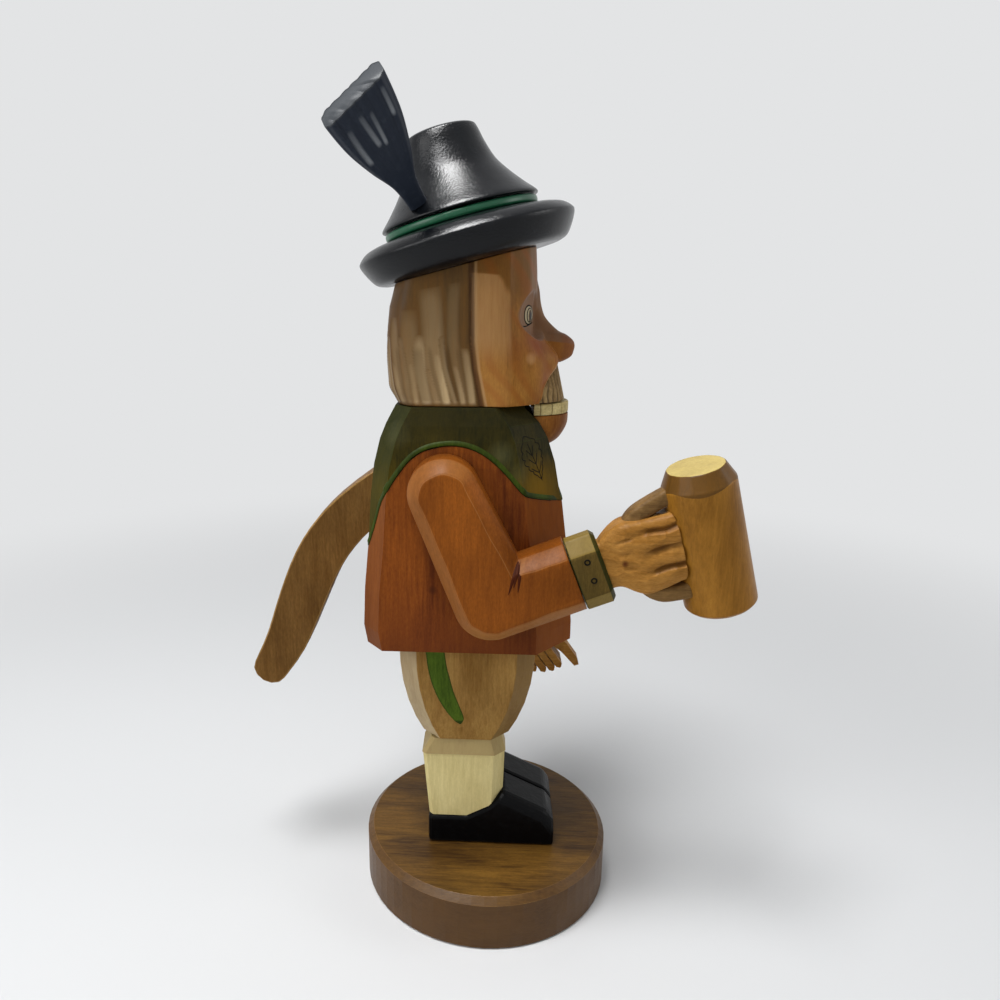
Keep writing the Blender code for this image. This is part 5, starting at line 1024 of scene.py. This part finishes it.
band_green = paint("satin_green_paint", "#165a3b", 0.30, 0.4, 0.06, "#297a54", 0.5)
crown_base = np.array([(CROWN_RADIUS - 2.0, CROWN_BASE), (CROWN_RADIUS - 0.3, CROWN_BASE)])
settle(skin("turned_brim", turned_rings(brim, hat)), hat_black, "figure", "black_paint", "hat_brim")
settle(skin("turned_crown", turned_rings(np.concatenate([crown_base, crown[1:]]), hat)), hat_black,
       "figure", "black_paint", "hat_crown")
settle(skin("green_band", turned_rings(band, hat)), band_green, "figure", "green_paint", "hat_band")


# Hat brush
# The tuft is one carved block, narrow at the root and flared to a slanted, ragged top,
# pegged into the crown. Black paint, with grey dry-brushed on the ridges and the top.
BRUSH_LENGTH = 45.8
BRUSH_AZIMUTH = radians(238.9)
BRUSH_ROOT_HEIGHT = 6.0
BRUSH_TURN_Y = radians(-17.0)
BRUSH_TURN_X = radians(38.0)


def octagon(wide, deep, cut_x, cut_y):
    """A rectangle's outline, `wide` and `deep` to each side, with its four corners cut off."""
    x = np.stack([wide, wide - cut_x, cut_x - wide, -wide, -wide, cut_x - wide, wide - cut_x, wide], -1)
    y = np.stack([deep - cut_y, deep, deep, deep - cut_y, cut_y - deep, -deep, -deep, cut_y - deep], -1)
    return np.stack([x, y], -1)


reach = float(np.interp(BRUSH_ROOT_HEIGHT + CROWN_BASE, crown[:60, 1], crown[:60, 0]))
root = (reach * cos(BRUSH_AZIMUTH), reach * sin(BRUSH_AZIMUTH), CROWN_BASE + BRUSH_ROOT_HEIGHT)
brush_place = (hat @ Matrix.Translation(root) @ Matrix.Rotation(BRUSH_TURN_Y, 4, "Y")
               @ Matrix.Rotation(BRUSH_TURN_X, 4, "X"))
flare = through(((0.0, 0.0), (0.06, 0.0), (0.24, 0.12), (0.45, 0.50), (0.66, 0.80), (0.82, 0.93),
                 (0.985, 1.0), (1.0, 0.985)), 12)
up, share = flare[:, 0], flare[:, 1]
wide, deep = (7.4 + 18.8 * share) / 2, (7.2 + 5.3 * share) / 2
cut = np.minimum(wide, deep) * 0.35
plan = np.stack([evenly(line, 300) for line in eased(octagon(wide, deep, cut, cut), 1.2, 4)])
normal = outward(plan)
across = plan[..., 0] / wide[:, None]
face = np.abs(normal[..., 1])
wave = np.abs(((across * 3.1 + 0.10 * np.sin(9 * across) + 0.5) % 1.0) - 0.5) * 2
valley = np.clip(1 - wave / 0.7, 0, 1) * step(up, 0.25, 0.80)[:, None] * face
plan = plan - normal * (0.60 * valley)[..., None]
z = BRUSH_LENGTH * up[:, None] + 2.2 * (up ** 2)[:, None] * across
rings = placed(np.stack([plan[..., 0], plan[..., 1], z], -1), brush_place)
stroke = 0 * across
for centre, half, low, high, bend in (
        (-0.66, 0.085, 0.52, 0.90, 0.30), (-0.05, 0.075, 0.60, 0.93, -0.20), (0.16, 0.060, 0.58, 0.90, 0.10),
        (0.74, 0.060, 0.72, 0.98, 0.0)):
    run = step(up, low, low + 0.05) * (1 - step(up, high - 0.06, high))
    run = run * (1.0 - 0.75 * (up - low) / (high - low))
    middle = centre + bend * (up[:, None] - low)
    stroke = np.maximum(stroke, np.clip(1.5 - np.abs(across - middle) / half, 0, 1) * run[:, None])
tip = step(up, 0.985, 1.0)[:, None] + 0 * across
brush_black = paint("dry_brushed_black_paint", "#1f2530", 0.45, 0.14, 0.12, "#2e343e", 0.5,
                    layers=(("stroke", 0.1, 1.1, "#8a8e92", 0.80), ("tip", 0.2, 0.8, "#3c3f42", 0.80)))
settle(skin("carved_brush", rings, {"stroke": stroke * face, "tip": tip}), brush_black,
       "figure", "brush_paint", "hat_brush")


# Sleeves
# Each bent arm is sawn from one chestnut-stained board and chamfered all round its outer
# face, where sanding has lightened the stain. The pale chamfer is painted fainter on the
# upper arm's front edge and the forearm's top, as painted shade, and stronger round the
# elbow and under the forearm, as painted light; the thin pale lines along the chamfer's
# edges are wear and painted highlight. Knife cuts mark the folds at the elbow.
chestnut = stained_wood("chestnut_stained_lime", "#6b380e", "#8a4c16", "Z", 16.0, 1.0, rough=0.40,
                        carve=0.12, turned=(0, radians(20), 0),
                        layers=(("chamfer", 0.1, 1.0, "#966638", 0.85), ("worn", 0.5, 1.0, "#a87848", 0.7)))
dark_cut = paint("dark_knife_cut", "#401a08", 0.6, 0.05, 0.05)

# Degrees over +X of the upper arm and of the forearm
ARMS = {"right": (-67.1, 21.6), "left": (-82.0, -55.0)}
SHOULDER = (-18.0, 195.7)
SHOULDER_RADIUS = 14.0
ELBOW_RADIUS = 14.8
UPPER_ARM = 48.4
FOREARM = 34.7
WRIST_HALF = 14.2
FLARE = 4.8
SLEEVE_OUTER_Y = 49.0

# mm from the figure's middle and mm in from the outline: a wide chamfer with eased edges
SLEEVE_PROFILE = ((33.7, 0.4), (34.1, 0.0), (43.6, 0.0), (44.2, 0.20), (48.4, 4.45), (48.8, 4.95),
                  (48.98, 5.6), (49.0, 6.3))


def toward(degrees):
    """The direction at an angle over +X, in X and Z."""
    return np.array([cos(radians(degrees)), sin(radians(degrees))])


def sleeve_outline(upper, fore, inset):
    """The sleeve's outline in X and Z, `inset` mm in: from the wrist's upper corner to the
    fold, round the shoulder, down to the round elbow and back to the wrist's lower corner."""
    elbow = SHOULDER + UPPER_ARM * toward(upper)
    wrist_middle = elbow + FOREARM * toward(fore)
    top = wrist_middle + (WRIST_HALF - inset) * toward(fore + 90)
    low = wrist_middle - (WRIST_HALF - inset) * toward(fore + 90)
    inner = SHOULDER + (SHOULDER_RADIUS - inset) * toward(upper + 90)
    ways = np.stack([toward(upper + FLARE), -toward(fore)], 1)
    fold = inner + np.linalg.solve(ways, top - inner)[0] * toward(upper + FLARE)
    a = np.radians(np.linspace(upper + 90, upper + 270, 41))[:, None]
    shoulder = SHOULDER + (SHOULDER_RADIUS - inset) * np.concatenate([np.cos(a), np.sin(a)], 1)
    a = np.radians(np.linspace(upper + 270, fore + 270, 31))[:, None]
    bend = elbow + (ELBOW_RADIUS - inset) * np.concatenate([np.cos(a), np.sin(a)], 1)
    t = np.linspace(0, 1, 24, endpoint=False)[:, None]
    sides = ((top, fold), (fold, inner), (shoulder[-1], bend[0]), (bend[-1], low), (low, top))
    forearm, arm, rear, under, end = (a + (b - a) * t for a, b in sides)
    return np.concatenate([forearm, arm, shoulder[:-1], rear, bend[:-1], under, end])


for side, sign in SIDES.items():
    plain = sleeve_outline(*ARMS[side], 0.0)
    inward = sleeve_outline(*ARMS[side], 1.0) - plain
    depth, inset = np.array(SLEEVE_PROFILE).T[:, :, None]
    count = np.arange(len(plain))
    wobble = 0.22 * np.sin(count * 0.21) + 0.12 * np.sin(count * 0.57)
    inset = inset + np.where(inset > 4, wobble, 0)
    flat = plain + inward * inset[..., None]
    rings = np.stack([flat[..., 0], sign * depth + 0 * inset, flat[..., 1]], -1)
    # The chamfer's tint is painted weaker on the upper arm's front edge and the forearm's top as shade, and
    # stronger round the elbow and underneath as light.
    before = step(count, 20, 26) * (1 - step(count, 46, 56))
    below = step(count, 110, 130)
    chamfer = np.array([0, 0, 0, 1, 1, 0.4, 0, 0])[:, None]
    chamfer = chamfer * (0.62 + 0.38 * below - 0.6 * before - 0.3 * (count < 20))
    # Thin pale lines along the chamfer's edges: wear and painted highlight.
    worn = np.array([0, 0, 0, 0.3, 0, 0.8, 0.2, 0])[:, None]
    sleeve = skin(side + "_bent_sleeve", rings, {"chamfer": chamfer, "worn": worn})
    settle(sleeve, chestnut, "figure", "chestnut_stain", side + "_sleeve")

# Knife cuts at the crook of the elbow: thin wedges, from the mouth's (x, z) to the point's
for i, (mouth, point) in enumerate((((10.6, 169.9), (7.4, 157.6)), ((11.2, 169.9), (9.3, 160.4)),
                                    ((12.0, 170.2), (11.0, 158.6)))):
    t = np.linspace(0, 1, 20)[:, None]
    line = np.array(mouth) * (1 - t) + np.array(point) * t
    wide = 0.62 * np.sin(pi * (0.12 + 0.86 * t)) ** 0.8
    a = circle(8)
    depth = -SLEEVE_OUTER_Y + 4.6 * np.clip(1 - t / 0.42, 0, 1)
    rings = np.stack([line[:, :1] + wide * np.cos(a), depth + 0.14 * np.sin(a), line[:, 1:] + 0 * a], -1)
    settle(skin(f"right_elbow_cut_{i}", rings), dark_cut, "figure", "chestnut_stain")


# Cuffs
# Eight-sided blocks slipped over the wrist dowels, olive stained, sanded pale on the
# corners. Two little rings are burnt into the outer face as buttons.
SLEEVE_MIDDLE_Y = 41.35


def wrist(side):
    """Wrist frame in mm: +X out of the sleeve, +Z across the forearm."""
    upper, fore = ARMS[side]
    x, z = SHOULDER + UPPER_ARM * toward(upper) + FOREARM * toward(fore)
    place = Matrix.Translation((x, SIDES[side] * SLEEVE_MIDDLE_Y, z))
    return place @ Matrix.Rotation(-radians(fore), 4, "Y")


right_wrist = wrist("right")
right_fore = radians(ARMS["right"][1])
CUFF_HALF_HEIGHT = 14.8
CUFF_HALF_DEPTH = 7.65
CUFF_CUT = (6.2, 5.0)
BUTTON_ALONG = 6.3
BUTTON_RADIUS = 0.95
BUTTON_HEIGHTS = (5.6, -2.2)
cuff_wood = stained_wood("olive_stained_cuff", "#463818", "#5f4c22", "Z", 8.0, 0.8, rough=0.42,
                         turned=(0, right_fore, 0),
                         layers=(("facet", 0.4, 0.6, "#806a32", 0.9), ("end", 0.4, 0.6, "#262a0c", 0.9)))
# mm along the cuff and mm inward: a narrow step by the sleeve and a wide bevel by the hand
CUFF_PROFILE = np.array([
    (0.3, 0.5), (0.5, 0.5), (0.7, 0.1), (0.9, 0.0), (0.91, 0.0), (10.5, 0.0), (10.7, 0.06), (12.2, 1.8)])
ring = evenly(eased(octagon(CUFF_HALF_HEIGHT, CUFF_HALF_DEPTH, *CUFF_CUT), 0.8, 4), 160)
normal = outward(ring)
normal *= np.sign((normal * ring).sum(1, keepdims=True))
facet = step(1 - np.abs(normal[:, 1]), 0.03, 0.15)
for side, sign in SIDES.items():
    place = wrist(side)
    along, inward = CUFF_PROFILE[:, :1], CUFF_PROFILE[:, 1:]
    across = ring[:, 1] - inward * normal[:, 1]
    up = ring[:, 0] - inward * normal[:, 0]
    end = np.array([1, 1, 1, 0, 0, 0, 1, 1])[:, None] + 0 * up
    cuff = skin(side + "_cuff_block", placed(np.stack([along + 0 * up, across, up], -1), place),
                {"facet": facet + 0 * up, "end": end})
    settle(cuff, cuff_wood, "figure", "cuff_stain", side + "_cuff")
    a = np.linspace(0, 2 * pi, 33)
    for i, z in enumerate(BUTTON_HEIGHTS):
        button = np.stack([BUTTON_ALONG + BUTTON_RADIUS * np.cos(a), sign * 7.70 + 0 * a,
                           z + BUTTON_RADIUS * np.sin(a)], -1)
        settle(dark_line(f"{side}_button_{i}", placed(button, place), 0.30, (0, sign, 0)), burnt_and_seam_shade,
               "figure", "cuff_stain")


# Right hand
# A carved fist in honey stain, slotted over the mug's handle. Four fingers are parted by
# knife cuts that deepen toward the mug, and the back of the hand is cut in short facets.

# The fist's upper and lower edge, and the mug it is carved against: wrist frame x, z
FIST_TOP = through(((12.9, 10.0), (14.8, 11.5), (19.0, 13.8), (23.9, 15.0), (29.9, 13.6), (38.8, 12.4)))
FIST_LOW = through(((12.9, -9.5), (16.0, -10.3), (20.5, -14.1), (24.3, -16.1), (30.7, -16.0), (37.3, -15.2)))
FIST_START_X = 11.6
FIST_LENGTH = 27.0
MUG_AXIS_X = 56.1
MUG_TOP_Z = 25.0
MUG_TILT = radians(6.2)
MUG_RADIUS = 14.0


def squarish(a, y_power, z_power):
    """A circle drawn out toward its square: sign(cos a) |cos a|^p and sign(sin a) |sin a|^q."""
    y, z = np.cos(a), np.sin(a)
    return np.sign(y) * np.abs(y) ** y_power, np.sign(z) * np.abs(z) ** z_power


def fist_height(x, share):
    """Height at x, for a share from -1 at the fist's lower edge to 1 at its upper one."""
    top, low = read_off(FIST_TOP, x), read_off(FIST_LOW, x)
    return (top + low) / 2 + (top - low) / 2 * share


v = np.linspace(0, 1, 130)[:, None]
square_y, square_z = squarish(circle(260)[None, :], 0.42, 0.50)
# The far end lies against the mug: its tilted axis less a round of its radius.
z = fist_height(FIST_START_X + v * FIST_LENGTH, square_z)
end_x = (MUG_AXIS_X - (MUG_TOP_Z - z) * tan(MUG_TILT)
         - np.sqrt(MUG_RADIUS ** 2 - (7.4 * square_y) ** 2) + 0.2)
x = FIST_START_X + v * (end_x - FIST_START_X)
z = fist_height(x, square_z)
half = 5.6 + 1.9 * step(x, 13, 22)
bed = np.abs(square_y) ** 2
cuts = 0 * x
for start, line in ((27.0, (9.0, 7.8)), (25.5, (1.0, 0.3)), (26.0, (-6.9, -7.3))):
    groove = np.interp(x, (26.0, 38.0), line) + 0.4 * np.sin(x / 2.5 + start)
    cuts = np.maximum(cuts, np.clip(1 - np.abs(z - groove) / 1.5, 0, 1) ** 0.8 * step(x, start, start + 6))
for start, stop, line in ((17.5, 26.5, (8.0, 8.6)), (17.5, 24.5, (3.6, 2.8)), (17.5, 24.5, (-2.2, -4.0))):
    crease = np.interp(x, (start, stop), line)
    run = step(x, start, start + 2) * step(x, stop, stop - 3)
    cuts = np.maximum(cuts, 0.35 * np.clip(1 - np.abs(z - crease) / 1.0, 0, 1) * run)
crest = np.exp(-((x - 24.8) / 2.4) ** 2) * (1 - np.clip(2 * cuts, 0, 1))
scallop = 0.5 * np.abs(np.sin((z - 0.9) / 7.7 * pi)) * step(x, 22, 27)
y = half * square_y - np.sign(square_y) * bed * (1.8 * cuts - 0.5 * crest - scallop + 0.5)
knot = right_wrist @ Vector((19.2, -7.4, -0.3)) * MM
hand_wood = stained_wood("honey_stained_hand", "#875a22", "#ab7b3c", "X", 10.0, 0.9, rough=0.44,
                         carve=0.20, chips=0.32, turned=(0, right_fore, 0), layers=(
                             ("cut", 0.15, 0.8, "#5c3814", 0.85),
                             (("near", tuple(knot)), 0.0018, 0.0009, "#45140a", 0.95)))
fist = skin("carved_fist", placed(np.stack([x, y, z], -1), right_wrist), {"cut": cuts * bed})
settle(fist, hand_wood, "figure", "hand_stain", "right_hand")


# Left hand
# The hanging hand: a palm with four parted fingers and a thumb held forward, cut from
# one piece of the same honey-stained wood.
finish_node("left_hand", hand_wood, None, 0.5, 20)


# Mug and handle
# A solid turned mug in golden stain. Its rim is whittled to a wide dull chamfer, the top
# is painted cream for the drink, and a bowed handle in grey-brown stain is glued on.
MUG_LEAN = radians(5.0)
MUG_HEIGHT = 58.7
mug_place = (right_wrist @ Matrix.Translation((MUG_AXIS_X, 0, MUG_TOP_Z))
             @ Matrix.Rotation(MUG_TILT, 4, "Y") @ Matrix.Rotation(MUG_LEAN, 4, "X"))
profile = eased([(6.0, -MUG_HEIGHT), (12.4, -MUG_HEIGHT), (MUG_RADIUS, -57.1), (MUG_RADIUS, -6.3),
                 (10.9, 0.0), (6.0, 0.0)], 0.5, 4, closed=False)
length = np.concatenate([[0], np.cumsum(np.linalg.norm(np.diff(profile, axis=0), axis=1))])
at = np.linspace(0, length[-1], 260)
profile = np.stack([np.interp(at, length, profile[:, i]) for i in range(2)], -1)
rings = turned_rings(profile)
a = circle(144)[None, :]
z, r = profile[:, 1:], profile[:, :1]
whittled = step(z, -6.6, -5.2) * step(r, 9.8, 10.8)
facet = 0.14 * np.abs(np.sin(a * 6.5 + 0.6 * np.sin(3 * a))) * whittled
rings[..., :2] *= (1 - facet / np.maximum(r, 1))[..., None]
rim_line = -6.9 - 0.9 * np.sin(a * 4.0 + 2.0 + 0.5 * np.sin(2 * a))
marks = {"rim": step(z, rim_line - 0.15, rim_line + 0.15),
         "drink": step(z, -0.14, -0.04) * np.ones_like(a)}
mug_wood = stained_wood("golden_stained_lime", "#7a5015", "#9c6c26", "Z", 16.0, 1.0, rough=0.34,
                        shine=0.11, mottle=0.07, turned=(0, radians(15), 0), layers=(
                            ("rim", 0.3, 0.7, "#4c3416", 0.88), ("drink", 0.3, 0.7, "#c0ab66", 1.0)))
settle(skin("turned_mug", placed(rings, mug_place), marks), mug_wood, "figure", "mug_stain", "mug")

# The handle's middle line, from the mug back round the fist to the mug: wrist frame x, z
HANDLE_LINE = ((43.0, 17.9), (36.0, 16.6), (29.5, 14.8), (25.6, 11.6), (23.6, 6.5), (23.3, -6.0),
               (24.6, -13.6), (28.6, -18.2), (34.0, -19.8), (39.6, -20.6))
HANDLE_HALF_HEIGHT = 3.3
HANDLE_HALF_THICKNESS = 3.95
line = through(HANDLE_LINE, 10)
path = placed(np.stack([line[:, 0], 0 * line[:, 0], line[:, 1]], -1), right_wrist)
oval = squarish(circle(48), 0.55, 0.55)
oval = np.stack([oval[0] * HANDLE_HALF_HEIGHT, oval[1] * HANDLE_HALF_THICKNESS], -1)
handle_wood = stained_wood("grey_brown_stained_handle", "#5d4426", "#80623a", "X", 6.0, 0.9, rough=0.46,
                           chips=0.2)
settle(moulding("bowed_handle", path, (0, 1, 0), oval), handle_wood, "figure", "handle_stain", "mug_handle")


# Dowels and screws
# Hidden joinery: bare beech dowels at the shoulders, wrists, waist, neck and hat, and one
# countersunk steel screw up through the plinth into each leg.
beech = stained_wood("bare_beech_dowel", "#b08a5e", "#cfab7c", "Z", 3.0, 0.6, rough=0.6)
screw_steel = bare_steel("plain_screw_steel", 0.34)
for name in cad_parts:
    if name.endswith("_dowel"):
        finish_node(name, beech, None, 0.3, 30)
    if name.endswith("_screw"):
        finish_node(name, screw_steel, None, 0.2, 30)

low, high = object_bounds()
